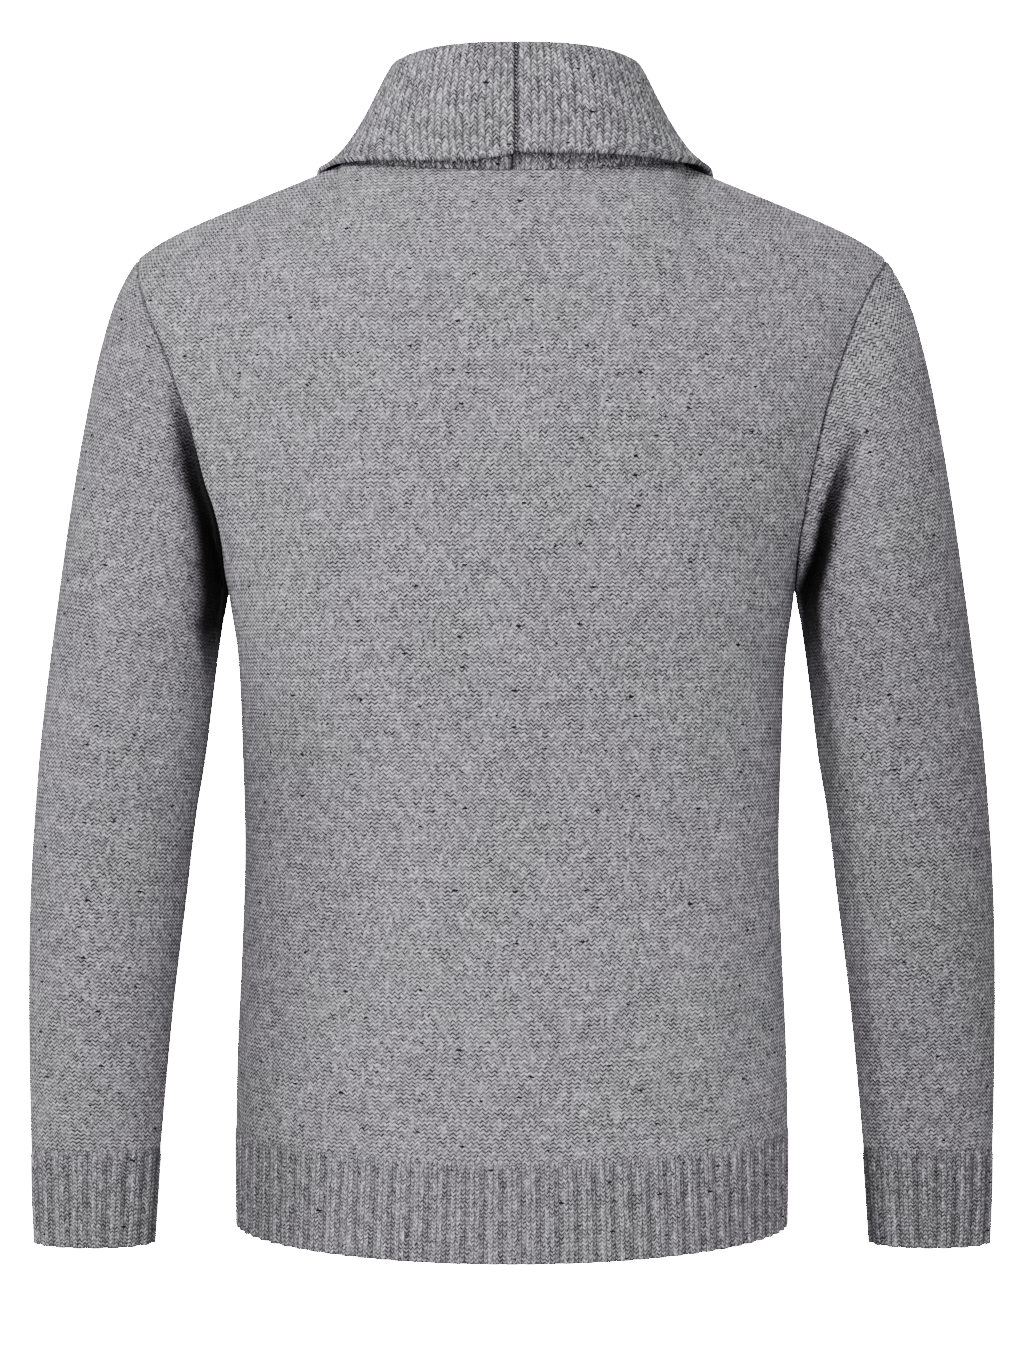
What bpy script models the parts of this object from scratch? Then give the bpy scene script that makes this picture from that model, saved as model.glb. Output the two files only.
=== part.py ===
"""Shawl collar cardigan in heavy grey knit, filled out as worn, with no wearer in it.

Metres, +Z up.  The front faces -Y and the wearer's left is +X.  The origin is at the
base of the neck, level with the points where neck and shoulders meet.

Every piece is a cloth wall between two faces.  The panels and sleeves are lofted
through short tables of sections, and neighbouring pieces share the line of their seam.
"""
import math
from collections import namedtuple

import bmesh
import bpy
import numpy as np

OBJECT = "shawl_collar_cardigan"

# Cloth
WALL = 0.0026            # body knit
RIB_WALL = 0.0030        # ribbed knit, from the plain inside to the middle of its face
RIB_TOP = 0.0004         # rib tops stand above the middle of the face
RIB_VALLEY = -0.0009     # and the furrows lie below it
RIB_PITCH = 0.0113
RIB_STEPS = 3            # columns to a rib: a furrow and the two edges of its top
SEAM = 0.0003            # gap between pieces where they are sewn
SHARP_ANGLE = math.radians(50)
MITRE_MOST = 1.3         # a wall grows by this much at most where a seam turns a corner

# Front fastening
BAND_WIDTH = 0.040
OVERLAP = 0.0054         # the left front lies this far in front of the right
TUCK = 0.0030            # the right half's fold is held in by this much where the left crosses it
LAP_FADES_X = (0.035, 0.100)        # the overlap fades out from this x to this x
LAP_FADES_Z = (-0.130, -0.040)      # and from this height to this height
V_POINT_Z = -0.205       # where the collar ends and the bands begin
BUTTON_RADIUS = 0.0105
BUTTON_THICK = 0.0042
BUTTON_STEPS = 18        # sides to its round
BUTTON_COUNT = 5
BUTTON_TOP_Z = -0.240
BUTTON_LOW_Z = -0.630

Turned = namedtuple("Turned", "radius height")      # in parts of the button's own sizes
BUTTON_PROFILE = (
    Turned(0.00, 0.55), Turned(0.62, 0.55), Turned(0.74, 1.00), Turned(0.92, 1.00),
    Turned(1.00, 0.72), Turned(1.00, 0.28), Turned(0.88, 0.00), Turned(0.00, 0.00),
)

# Neck and shoulders
NECK_HALF = 0.108
NECK_BACK_Y = 0.075
NECK_BACK_Z = -0.004
SHOULDER_Z = 0.0065
SHOULDER_Y = -0.002
SHOULDER_TIP_X = 0.2365
SHOULDER_TIP_Y = -0.004
SHOULDER_SLOPE = 0.405
SHOULDER_TIP_DROP = 0.0075
SHOULDER_TIP_CURVE = 8              # the drop grows with this power of the way along
ARRIVES_AT_NECK = (0.0, -0.55, 0.85)        # how the back's cloth reaches the back neck,
ARRIVES_AT_SHOULDER = (0.0, -1.0, 0.12)     # and the back's and fronts' the shoulder seam
FRONT_ARRIVES = (0.0, 1.0, 0.12)
FRONT_ARRIVES_AT_NECK = (0.10, 0.9, 0.45)

# Shape of a body section
MID_FULL = 0.58          # how far the section runs straight across from the centre line
SIDE_TILT = 0.35         # how much of its rise it makes near the side
YOKE_FROM = 1.2          # the yoke's rows leave in the way the panel runs over this many table rows

# Fineness of the solids
SECTION_STEPS = 97       # points along a section's curve
HALF_COLUMNS = 12        # columns of the back from its middle to its side
FRONT_COLUMNS = 9
NECK_COLUMNS = 6         # of which this many end at the neck
YOKE_ROWS = 5
RIB_TOP_ROW = 1          # table row at the top of the hem rib
UNDERARM_ROW = 7         # table row at the underarm
V_POINT_ROW = 11         # table row at the V point
EVEN_RING = 8            # from this sleeve ring on, columns are evenly spaced
HEM_ROWS = 3
HEM_BACK_RIBS = 41
HEM_FRONT_RIBS = 20
COLLAR_FULL = 0.35       # how full the stand is at the neck, and the fall at its edge
STAND_LIFT = 0.4         # how much steeper the collar leaves the neck than its stand leans
UNFOLDED = 0.04          # this last part of the fold is not lifted off the body
EVEN_FROM = 0.80         # from this part of the neckline the collar's rows are spaced evenly
FALL_CLEAR = 0.0044      # the fall's face lies at least this far off the body
COLLAR_ROWS = (0.0, 0.35, 0.72, 0.92, 1.0, 1.08, 1.35, 1.68, 2.0)    # 1 is the fold
FALL_FROM_ROW = 5

GREY = (0.315, 0.305, 0.328)
RIB_GREY = (0.262, 0.255, 0.270)
BUTTON_GREY = (0.055, 0.052, 0.055)

# Sections of the body from the hem upwards: a point at the side seam or armhole,
# a point on the centre line, how many degrees the row has turned at its side, and
# how full it is there.
Row = namedtuple("Row", "side_z side_x side_y mid_z mid_y turn full")
BACK = (
    Row(-0.6610, 0.1740, -0.0120, -0.6730, 0.1130, 90, 0.340),
    Row(-0.5970, 0.1738, 0.0000, -0.6110, 0.1130, 90, 0.340),
    Row(-0.5510, 0.1729, 0.0000, -0.5630, 0.1120, 90, 0.340),
    Row(-0.4880, 0.1701, 0.0000, -0.4970, 0.1050, 90, 0.340),
    Row(-0.4250, 0.1682, 0.0000, -0.4310, 0.0990, 90, 0.340),
    Row(-0.3620, 0.1698, 0.0000, -0.3650, 0.1020, 90, 0.352),
    Row(-0.3000, 0.1729, 0.0000, -0.3000, 0.1100, 90, 0.387),
    Row(-0.2620, 0.1780, 0.0000, -0.2600, 0.1150, 90, 0.396),
    Row(-0.2585, 0.1778, 0.0140, -0.2520, 0.1160, 86, 0.337),
    Row(-0.2480, 0.1777, 0.0280, -0.2380, 0.1175, 79, 0.290),
    Row(-0.2330, 0.1779, 0.0400, -0.2210, 0.1190, 70, 0.263),
    Row(-0.2150, 0.1803, 0.0500, -0.2020, 0.1205, 61, 0.224),
    Row(-0.1960, 0.1860, 0.0560, -0.1790, 0.1210, 53, 0.191),
    Row(-0.1760, 0.1915, 0.0595, -0.1540, 0.1200, 47, 0.190),
    Row(-0.1560, 0.1973, 0.0600, -0.1280, 0.1170, 42, 0.227),
    Row(-0.1350, 0.2040, 0.0580, -0.1000, 0.1120, 38, 0.220),
)
FRONT = (
    Row(-0.6610, 0.1740, -0.0120, -0.6640, -0.1150, 90, 0.340),
    Row(-0.5970, 0.1738, 0.0000, -0.6000, -0.1160, 90, 0.340),
    Row(-0.5510, 0.1729, 0.0000, -0.5540, -0.1170, 90, 0.340),
    Row(-0.4880, 0.1701, 0.0000, -0.4900, -0.1170, 90, 0.340),
    Row(-0.4250, 0.1682, 0.0000, -0.4270, -0.1160, 90, 0.340),
    Row(-0.3620, 0.1698, 0.0000, -0.3630, -0.1190, 90, 0.352),
    Row(-0.3000, 0.1729, 0.0000, -0.3000, -0.1240, 90, 0.387),
    Row(-0.2620, 0.1780, 0.0000, -0.2620, -0.1270, 90, 0.378),
    Row(-0.2585, 0.1779, -0.0130, -0.2500, -0.1280, 86, 0.328),
    Row(-0.2480, 0.1780, -0.0260, -0.2350, -0.1290, 79, 0.287),
    Row(-0.2330, 0.1785, -0.0380, -0.2200, -0.1290, 70, 0.253),
    Row(-0.2150, 0.1800, -0.0470, -0.2050, -0.1285, 61, 0.224),
    Row(-0.1960, 0.1838, -0.0530, -0.1800, -0.1275, 53, 0.193),
    Row(-0.1760, 0.1885, -0.0565, -0.1540, -0.1250, 47, 0.186),
    Row(-0.1560, 0.1945, -0.0575, -0.1280, -0.1210, 42, 0.229),
    Row(-0.1350, 0.2020, -0.0565, -0.1000, -0.1150, 38, 0.220),
)

# Rings of the left sleeve from the armhole to the cuff's edge: the outermost and the
# innermost point, half the depth, the middle's y, the crease in front of and behind
# the armpit, and how much lower the back of the ring hangs than its front.
Ring = namedtuple("Ring", "out_x out_z in_x in_z depth mid_y crease hang")
SLEEVE = (
    Ring(0.2365, -0.053, 0.1780, -0.2620, 0.0600, 0.000, 0.0, 0.0),
    Ring(0.2430, -0.064, 0.1783, -0.2640, 0.0603, 0.000, 0.0030, 0.0),
    Ring(0.2490, -0.077, 0.1786, -0.2665, 0.0605, 0.001, 0.0060, 0.0),
    Ring(0.2590, -0.110, 0.1797, -0.2725, 0.0605, 0.001, 0.0010, 0.0),
    Ring(0.2685, -0.155, 0.1815, -0.2810, 0.0600, 0.001, 0.0, 0.0),
    Ring(0.2770, -0.205, 0.1835, -0.2940, 0.0595, 0.001, 0.0, 0.0),
    Ring(0.2840, -0.255, 0.1860, -0.3130, 0.0585, 0.002, 0.0, 0.0),
    Ring(0.2905, -0.305, 0.1890, -0.3380, 0.0570, 0.003, 0.0, 0.0),
    Ring(0.2958, -0.350, 0.1925, -0.3670, 0.0555, 0.004, 0.0, 0.0),
    Ring(0.3000, -0.399, 0.1980, -0.4000, 0.0530, 0.003, 0.0, 0.0),
    Ring(0.3035, -0.457, 0.2050, -0.4570, 0.0490, 0.000, 0.0, 0.0),
    Ring(0.3050, -0.520, 0.2130, -0.5200, 0.0420, -0.006, 0.0, 0.0),
    Ring(0.3052, -0.578, 0.2190, -0.5780, 0.0330, -0.014, 0.0, 0.0),
    Ring(0.3049, -0.614, 0.2224, -0.6140, 0.0270, -0.019, 0.0, 0.0),
)
CUFF = (
    Ring(0.3049, -0.614, 0.2224, -0.6140, 0.0270, -0.019, 0.0, 0.0),
    Ring(0.3047, -0.645, 0.2246, -0.6450, 0.0245, -0.022, 0.0, 0.0005),
    Ring(0.3037, -0.675, 0.2268, -0.6750, 0.0220, -0.025, 0.0, 0.0020),
)
CUFF_RIBS = 17
CUFF_TURNS = 120         # points along a ring before it is parted into ribs
ARMHOLE_BLEND = (1.0, 0.80, 0.55, 0.25, 0.08)    # how far each ring keeps the armhole's shape
CREASE_GROWS = (-0.15, 0.35)    # the crease grows over this stretch of the way to the inner side

# Stations of the left half of the collar, from the centre back to the V point, by
# their part of the neckline: the fold at its top, its free edge (the right half's
# edge hangs at edge_z_right behind), the way it rolls outwards (degrees from +X
# towards +Y), half the width of the roll, and the flare of the edge.
Station = namedtuple("Station", "part fold_x fold_y fold_z edge_x edge_y edge_z"
                                " edge_z_right out roll flare")
COLLAR = (
    Station(0.00, 0.0000, 0.060, 0.0767, 0.0000, 0.0870, 0.0060, 0.0068, 90, 0.012, 0.15),
    Station(0.09, 0.0270, 0.0575, 0.0763, 0.0320, 0.0850, 0.0020, 0.0066, 78, 0.012, 0.15),
    Station(0.19, 0.0540, 0.044, 0.0745, 0.0680, 0.0730, 0.0012, 0.0052, 50, 0.011, 0.25),
    Station(0.27, 0.0700, 0.024, 0.0715, 0.1010, 0.0480, 0.0030, 0.0030, 25, 0.010, 0.50),
    Station(0.35, 0.0740, 0.000, 0.0690, 0.1220, 0.0020, 0.0048, 0.0048, 0, 0.009, 0.80),
    Station(0.45, 0.0637, -0.038, 0.0380, 0.1270, -0.0410, -0.0130, -0.0130, -30, 0.009, 0.60),
    Station(0.58, 0.0486, -0.082, -0.0050, 0.1220, -0.0880, -0.0620, -0.0620, -60, 0.009, 0.30),
    Station(0.73, 0.0246, -0.117, -0.0750, 0.0980, -0.1170, -0.1180, -0.1180, -80, 0.008, 0.10),
    Station(0.88, 0.0005, -0.1262, -0.1430, 0.0450, -0.1350, -0.1660, -0.1660, -90, 0.006, 0.00),
    Station(0.94, -0.0098, -0.1262, -0.1740, 0.0120, -0.1310, -0.1880, -0.1880, -90, 0.003, 0.00),
    Station(1.00, -0.0200, -0.1258, -0.2050, -0.0200, -0.1258, -0.2050, -0.2050, -90, 0.000, 0.00),
)

# By side: the parts of the neckline between which the fold fades out, and where the free
# edge is read from the table.  The right half goes under the left one, so it ends sooner.
FOLD_FADES = {1: (0.92, 1.00), -1: (0.86, 0.895)}
EDGE_READ = {1: ((0.0, 1.0), (0.0, 1.0)), -1: ((0.0, 0.73, 0.86, 1.0), (0.0, 0.73, 0.915, 1.0))}
TUCK_FADES = (0.70, 0.86, 0.93, 1.00)   # and where the right half's fold is tucked in


def unit(vectors):
    """Vectors of length one."""
    return vectors / np.linalg.norm(vectors, axis=-1, keepdims=True)


def ease(x, low, high):
    """0 below low, 1 above high, smooth between."""
    t = np.clip((np.asarray(x, float) - low) / (high - low), 0.0, 1.0)
    return t * t * (3.0 - 2.0 * t)


def spline(knots, rows, at):
    """Rows of a table read between its knots along a smooth curve."""
    knots = np.asarray(knots, float)
    rows = np.asarray(rows, float)
    at = np.atleast_1d(np.asarray(at, float))
    slope = np.gradient(rows, knots, axis=0)
    k = np.clip(np.searchsorted(knots, at, side="right") - 1, 0, len(knots) - 2)
    span = (knots[k + 1] - knots[k])[:, None]
    t = (at - knots[k])[:, None] / span
    start = (1 + 2 * t) * (1 - t) ** 2 * rows[k] + t * (1 - t) ** 2 * span * slope[k]
    end = t * t * (3 - 2 * t) * rows[k + 1] + t * t * (t - 1) * span * slope[k + 1]
    return start + end


def bezier(points, steps=33):
    """A cubic curve through its first and last point."""
    a, b, c, d = (np.asarray(p, float) for p in points)
    t = np.linspace(0.0, 1.0, steps)[:, None]
    s = 1.0 - t
    return s ** 3 * a + 3 * s * s * t * b + 3 * s * t * t * c + t ** 3 * d


def along(line, parts):
    """Points of a line at parts of its length, or the same of what else lies along it."""
    line = np.asarray(line, float)
    step = np.linalg.norm(np.diff(line[:, :3], axis=0), axis=1)
    run = np.concatenate(([0.0], np.cumsum(step)))
    at = np.asarray(parts, float) * run[-1]
    return np.stack([np.interp(at, run, column) for column in line.T], axis=1)


def normals(grid, wrap=False):
    """Outward normals of a grid whose rows go up and whose columns go round to the left."""
    if wrap:
        across = np.roll(grid, -1, axis=1) - np.roll(grid, 1, axis=1)
    else:
        across = np.gradient(grid, axis=1)
    return unit(np.cross(np.gradient(grid, axis=0), across))


# ---------------------------------------------------------------- walls

def skin(mesh, verts, wrap):
    """Faces over a grid of corners."""
    columns = len(verts[0])
    for low, high in zip(verts[:-1], verts[1:]):
        for j in range(columns if wrap else columns - 1):
            k = (j + 1) % columns
            mesh.faces.new((low[j], low[k], high[k], high[j]))


def rim(mesh, fine, coarse):
    """Faces that join the edge of one skin to the edge of the other."""
    ratio = (len(fine) - 1) // (len(coarse) - 1)
    for k in range(len(coarse) - 1):
        mesh.faces.new(fine[k * ratio:(k + 1) * ratio + 1] + [coarse[k + 1], coarse[k]])


def wall(name, face, back, colour, wrap=False):
    """A closed cloth wall between two skins; the back skin may be the coarser one."""
    mesh = bmesh.new()
    front = [[mesh.verts.new(p) for p in row] for row in face]
    rear = [[mesh.verts.new(p) for p in row] for row in back]
    skin(mesh, front, wrap)
    skin(mesh, rear, wrap)
    for row in (0, -1):
        if wrap:
            rim(mesh, front[row] + front[row][:1], rear[row] + rear[row][:1])
        else:
            rim(mesh, front[row], rear[row])
    if not wrap:
        for column in (0, -1):
            rim(mesh, [r[column] for r in front], [r[column] for r in rear])
    bmesh.ops.recalc_face_normals(mesh, faces=mesh.faces)
    return solid(name, mesh, colour)


def solid(name, mesh, colour, roughness=0.95):
    """Turn a bmesh into a named object with its own material."""
    data = bpy.data.meshes.new(name)
    mesh.to_mesh(data)
    mesh.free()
    data.shade_smooth()
    data.set_sharp_from_angle(angle=SHARP_ANGLE)
    piece = bpy.data.objects.new(name, data)
    bpy.data.collections[OBJECT].objects.link(piece)
    piece.data.materials.append(finish(name, colour, roughness))
    return piece


def finish(name, colour, roughness):
    """A plain material for one piece."""
    material = bpy.data.materials.new(name)
    material.use_nodes = True
    shader = material.node_tree.nodes["Principled BSDF"]
    shader.inputs["Base Color"].default_value = (*colour, 1.0)
    shader.inputs["Roughness"].default_value = roughness
    shader.inputs["Metallic"].default_value = 0.0
    return material


def rib_relief(columns):
    """How far each column of a ribbed face stands out from its middle."""
    return np.where(np.arange(columns) % RIB_STEPS == 0, RIB_VALLEY, RIB_TOP)


# ---------------------------------------------------------------- body

def section(row):
    """One section of the body, from the centre line round to the side."""
    mid = np.array((0.0, row[4], row[3]))
    side = np.array((row[1], row[2], row[0]))
    turn = math.radians(row[5])
    reach = np.linalg.norm(side - mid)
    away = np.array((math.cos(turn), -math.copysign(math.sin(turn), row[4]), 0.0))
    toward_mid = np.array((MID_FULL * row[1], 0.0, 0.0))
    toward_side = row[6] * reach * away
    toward_side[2] = SIDE_TILT * (row[0] - row[3])
    return bezier((mid, mid + toward_mid, side - toward_side, side), SECTION_STEPS)


def front_edge(z):
    """Where a front panel ends: at its band, and above that along the neckline."""
    part = np.clip((z - V_POINT_Z) / (SHOULDER_Z - V_POINT_Z), 0.0, 1.0)
    return BAND_WIDTH / 2 + (NECK_HALF - BAND_WIDTH / 2) * part


def back_line(row, columns):
    """A section of the back in even columns from the middle to the side."""
    return along(section(row), np.linspace(0.0, 1.0, columns + 1))


def front_line(row, columns):
    """A section of a front in even columns from its edge to the side."""
    line = section(row)
    edge = front_edge(row[3])
    start = np.array([np.interp(edge, line[:, 0], line[:, k]) for k in range(3)])
    kept = np.vstack((start, line[line[:, 0] > edge + 1e-5]))
    return along(kept, np.linspace(0.0, 1.0, columns + 1))


def shoulder_seam(x):
    """The seam along the top of the shoulder, from the neck to its tip."""
    part = (x - NECK_HALF) / (SHOULDER_TIP_X - NECK_HALF)
    y = SHOULDER_Y + (SHOULDER_TIP_Y - SHOULDER_Y) * part
    z = SHOULDER_Z - SHOULDER_SLOPE * (x - NECK_HALF)
    z = z - SHOULDER_TIP_DROP * part ** SHOULDER_TIP_CURVE
    return np.stack((x, y, z), axis=-1)


def back_neck(part):
    """The back neckline, from the centre back to the shoulder."""
    angle = part * math.pi / 2
    x = NECK_HALF * np.sin(angle)
    y = SHOULDER_Y + (NECK_BACK_Y - SHOULDER_Y) * np.cos(angle)
    z = NECK_BACK_Z + (SHOULDER_Z - NECK_BACK_Z) * np.sin(angle) ** 2
    return np.stack((x, y, z), axis=-1)


def yoke(foot, below, top, arrive, rows):
    """Rows that carry a panel from its last section up to the neck and shoulder."""
    lift = np.linalg.norm(top - foot, axis=1, keepdims=True)
    leave = unit(foot - below) * lift
    arrive = unit(arrive) * lift
    grid = []
    for t in np.linspace(0.0, 1.0, rows + 1)[1:]:
        start = (1 + 2 * t) * (1 - t) ** 2 * foot + t * (1 - t) ** 2 * leave
        end = t * t * (3 - 2 * t) * top + t * t * (t - 1) * arrive
        grid.append(start + end)
    return grid


def back_grid(at, columns, neck_columns, yoke_rows):
    """The left half of the back's outer face, as rows of points from the rib up."""
    knots = range(len(BACK))
    rows = [back_line(row, columns) for row in spline(knots, BACK, at)]
    below = back_line(spline(knots, BACK, len(BACK) - YOKE_FROM)[0], columns)
    neck = back_neck(np.linspace(0.0, 1.0, neck_columns + 1))
    tips = np.linspace(NECK_HALF, SHOULDER_TIP_X, columns - neck_columns + 1)[1:]
    top = np.vstack((neck, shoulder_seam(tips)))
    out = np.clip(top[:, 0] / NECK_HALF, 0.0, 1.0)[:, None] ** 2
    arrive = (1 - out) * np.array(ARRIVES_AT_NECK) + out * np.array(ARRIVES_AT_SHOULDER)
    return np.array(rows + yoke(rows[-1], below, top, arrive, yoke_rows))


def front_grid(at, columns, yoke_rows):
    """The left front's outer face, before it is lapped over the right one."""
    knots = range(len(FRONT))
    rows = [front_line(row, columns) for row in spline(knots, FRONT, at)]
    below = front_line(spline(knots, FRONT, len(FRONT) - YOKE_FROM)[0], columns)
    top = shoulder_seam(np.linspace(NECK_HALF, SHOULDER_TIP_X, columns + 1))
    arrive = np.tile(FRONT_ARRIVES, (columns + 1, 1))
    arrive[0] = FRONT_ARRIVES_AT_NECK
    return np.array(rows + yoke(rows[-1], below, top, arrive, yoke_rows))


def lap(points, side):
    """Move the left front and its band out, over the right ones."""
    if side < 0:
        return points
    moved = np.array(points, float)
    by_x = 1.0 - ease(moved[..., 0], *LAP_FADES_X)
    by_z = 1.0 - ease(moved[..., 2], *LAP_FADES_Z)
    moved[..., 1] -= OVERLAP * by_x * by_z
    return moved


# ---------------------------------------------------------------- sleeves

def ring_points(ring, turns):
    """A ring of the left sleeve: turn 0 is outermost, a quarter turn is at the back."""
    out = np.array((ring[0], ring[5], ring[1]))
    inner = np.array((ring[2], ring[5], ring[3]))
    middle = (out + inner) / 2
    cosine = np.cos(turns)[:, None]
    sine = np.sin(turns)[:, None]
    points = middle + (out - middle) * cosine + np.array((0.0, ring[4], -ring[7])) * sine
    return points


def turns_of(points, ring):
    """The turn at which each point lies on a ring."""
    out = np.array((ring[0], ring[5], ring[1]))
    inner = np.array((ring[2], ring[5], ring[3]))
    half = (out - inner) / 2
    local = points - (out + inner) / 2
    cosine = local @ half / (half @ half)
    return np.unwrap(np.arctan2(local[:, 1] / ring[4], cosine))


def sleeve_grid(armhole, rings, blend, even_from):
    """The left sleeve's outer face, ring by ring from the armhole down."""
    count = len(armhole)
    fitted = turns_of(armhole, rings[0])
    even = np.linspace(0.0, 2 * math.pi, count, endpoint=False)
    grid = []
    for k, ring in enumerate(rings):
        keep = 1.0 - min(k / even_from, 1.0)
        turns = keep * fitted + (1.0 - keep) * even
        points = ring_points(ring, turns)
        if k < len(blend):
            points += blend[k] * (armhole - ring_points(rings[0], fitted))
        if ring[6]:
            middle = ring_points(ring, np.array((0.0, math.pi))).mean(axis=0)
            near = np.abs(np.sin(turns)) * ease(-np.cos(turns), *CREASE_GROWS)
            points -= unit(points - middle) * (ring[6] * near)[:, None]
        grid.append(points)
    return np.array(grid)


# ---------------------------------------------------------------- seams

def mitre(one, other):
    """The step from a seam's outer line to its inner line, shared by both pieces."""
    total = one + other
    size = np.linalg.norm(total, axis=1, keepdims=True)
    lean = np.clip(size / 2, 1.0 / MITRE_MOST, 1.0)
    return total / np.maximum(size, 1e-6) * WALL / lean


def soften(steps, rounds=2):
    """Even out the steps along a seam, leaving its ends."""
    for _ in range(rounds):
        steps[1:-1] = (steps[:-2] + 2 * steps[1:-1] + steps[2:]) / 4
    return steps


def flatten(steps, axis, thickness=WALL):
    """Steps of full thickness that keep within the plane of a straight seam."""
    flat = np.array(steps)
    flat[..., axis] = 0.0
    return unit(flat) * thickness


def seam_shift(line, step, toward):
    """Half the gap at a seam, square to the seam, on the side that toward points to."""
    square = unit(np.cross(step, unit(np.gradient(line, axis=0))))
    sign = np.sign(np.sum(square * toward, axis=1, keepdims=True))
    return square * sign * SEAM / 2


class Half:
    """The left half of the body, or the right half in a mirror, with its shared seams."""

    def __init__(self, side):
        self.side = side
        at = range(RIB_TOP_ROW, len(BACK))
        self.low = UNDERARM_ROW - RIB_TOP_ROW
        self.v_point = V_POINT_ROW - RIB_TOP_ROW
        self.back = back_grid(at, HALF_COLUMNS, NECK_COLUMNS, YOKE_ROWS)
        self.front = lap(front_grid(at, FRONT_COLUMNS, YOKE_ROWS), side)
        back_edge = self.back[self.low:, -1][::-1]
        front_edge_points = self.front[self.low:, -1]
        self.armhole = np.vstack((back_edge, front_edge_points[1:-1]))
        self.sleeve = sleeve_grid(self.armhole, SLEEVE, ARMHOLE_BLEND, EVEN_RING)
        self.back_out = normals(self.back)
        self.front_out = -normals(self.front)
        self.sleeve_out = normals(self.sleeve, wrap=True)
        self.back_step = self.back_out * WALL
        self.front_step = self.front_out * WALL
        self.sleeve_step = self.sleeve_out * WALL
        self.back_gap = np.zeros_like(self.back)
        self.front_gap = np.zeros_like(self.front)
        self.sleeve_gap = np.zeros_like(self.sleeve)
        self.sew_sides()
        self.sew_shoulder()
        self.sew_armhole()
        self.sew_neck()
        self.sew_ribs()

    def sew_sides(self):
        """The side seam, in the plane square to Y."""
        back = (self.back_step, self.back_gap, 1)
        front = (self.front_step, self.front_gap, -1)
        for step, gap, way in (back, front):
            step[:self.low, -1] = flatten(step[:self.low, -1], 1)
            gap[:self.low + 1, -1, 1] += way * SEAM / 2

    def sew_shoulder(self):
        """The shoulder seam, nearly in the plane square to Y."""
        top = slice(NECK_COLUMNS, None)
        self.back_step[-1, top] = flatten(self.back_step[-1, top], 1)
        self.front_step[-1] = flatten(self.front_step[-1], 1)
        self.back_gap[-1, top, 1] += SEAM / 2
        self.front_gap[-1, :, 1] -= SEAM / 2

    def sew_armhole(self):
        """The seam between panels and sleeve, which turns a sharp corner under the arm."""
        low = self.low
        back, front = self.back_out[:, -1], self.front_out[:, -1]
        panel = np.vstack((back[low:][::-1], front[low + 1:-1]))
        under = len(back) - 1 - low
        panel[0] = unit(back[-1] + front[-1])
        panel[under] = unit(back[low] + front[low])
        step = mitre(panel, self.sleeve_out[0])
        step = soften(np.vstack((step[-1:], step, step[:1])))[1:-1]
        ring = np.vstack((self.armhole[-1:], self.armhole, self.armhole[:1]))
        along_ring = np.vstack((step[-1:], step, step[:1]))
        outward = np.array((1.0, 0.0, 0.0))
        gap = seam_shift(ring, along_ring, outward)[1:-1]
        self.sleeve_step[0] = step
        self.sleeve_gap[0] = gap
        self.back_step[low:, -1] = step[:under + 1][::-1]
        self.back_gap[low:, -1] -= gap[:under + 1][::-1]
        around = np.vstack((step[under:], step[:1]))
        self.front_step[low:, -1] = around
        self.front_gap[low:, -1] -= np.vstack((gap[under:], gap[:1]))

    def sew_neck(self):
        """The neckline from the centre back to the V point, where the collar is sewn on."""
        neck, v_point = slice(0, NECK_COLUMNS), slice(self.v_point, None)
        down = self.front[v_point, 0][::-1]
        self.neck = np.vstack((self.back[-1, neck], down))
        panel = np.vstack((self.back_out[-1, neck], self.front_out[v_point, 0][::-1]))
        panel[NECK_COLUMNS] = unit(self.back_out[-1, NECK_COLUMNS] + self.front_out[-1, 0])
        self.neck_part = line_parts(self.neck)
        fold, _, way, _, _ = collar_guides(self.neck_part, self.side)
        self.rise = stand_rise(self.neck, fold, self.neck_part)
        stand = unit(np.cross(unit(np.gradient(self.neck, axis=0)), self.rise))
        stand *= np.sign(np.sum(stand * way, axis=1, keepdims=True))
        step = soften(mitre(panel, stand))
        step[0] = flatten(step[:1], 0, np.linalg.norm(step[0]))[0]
        step[-1] = flatten(self.front_step[self.v_point, :1], 0)[0]
        gap = seam_shift(self.neck, step, self.rise)
        self.neck_step, self.neck_gap = step, gap
        self.back_step[-1, :NECK_COLUMNS + 1] = step[:NECK_COLUMNS + 1]
        self.back_gap[-1, :NECK_COLUMNS + 1] -= gap[:NECK_COLUMNS + 1]
        self.front_step[v_point, 0] = step[NECK_COLUMNS:][::-1]
        self.front_gap[v_point, 0] -= gap[NECK_COLUMNS:][::-1]

    def sew_ribs(self):
        """The seams to the front band, the hem rib and the cuff."""
        band = slice(0, self.v_point)
        self.front_step[band, 0] = flatten(self.front_step[band, 0], 0)
        self.front_gap[band, 0, 0] += SEAM / 2
        for step, gap in ((self.back_step, self.back_gap), (self.front_step, self.front_gap)):
            step[0] = flatten(step[0], 2)
            gap[0, :, 2] += SEAM / 2
        self.sleeve_step[-1] = flatten(self.sleeve_step[-1], 2)
        self.sleeve_gap[-1, :, 2] += SEAM / 2


def line_parts(line):
    """How far along a line each of its points lies, from 0 to 1."""
    run = np.concatenate(([0.0], np.cumsum(np.linalg.norm(np.diff(line, axis=0), axis=1))))
    return run / run[-1]


def mirrored(points, side):
    """Points of the left half, moved to the right half for side -1."""
    moved = np.array(points, float)
    moved[..., 0] *= side
    return moved


# ---------------------------------------------------------------- collar

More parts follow.
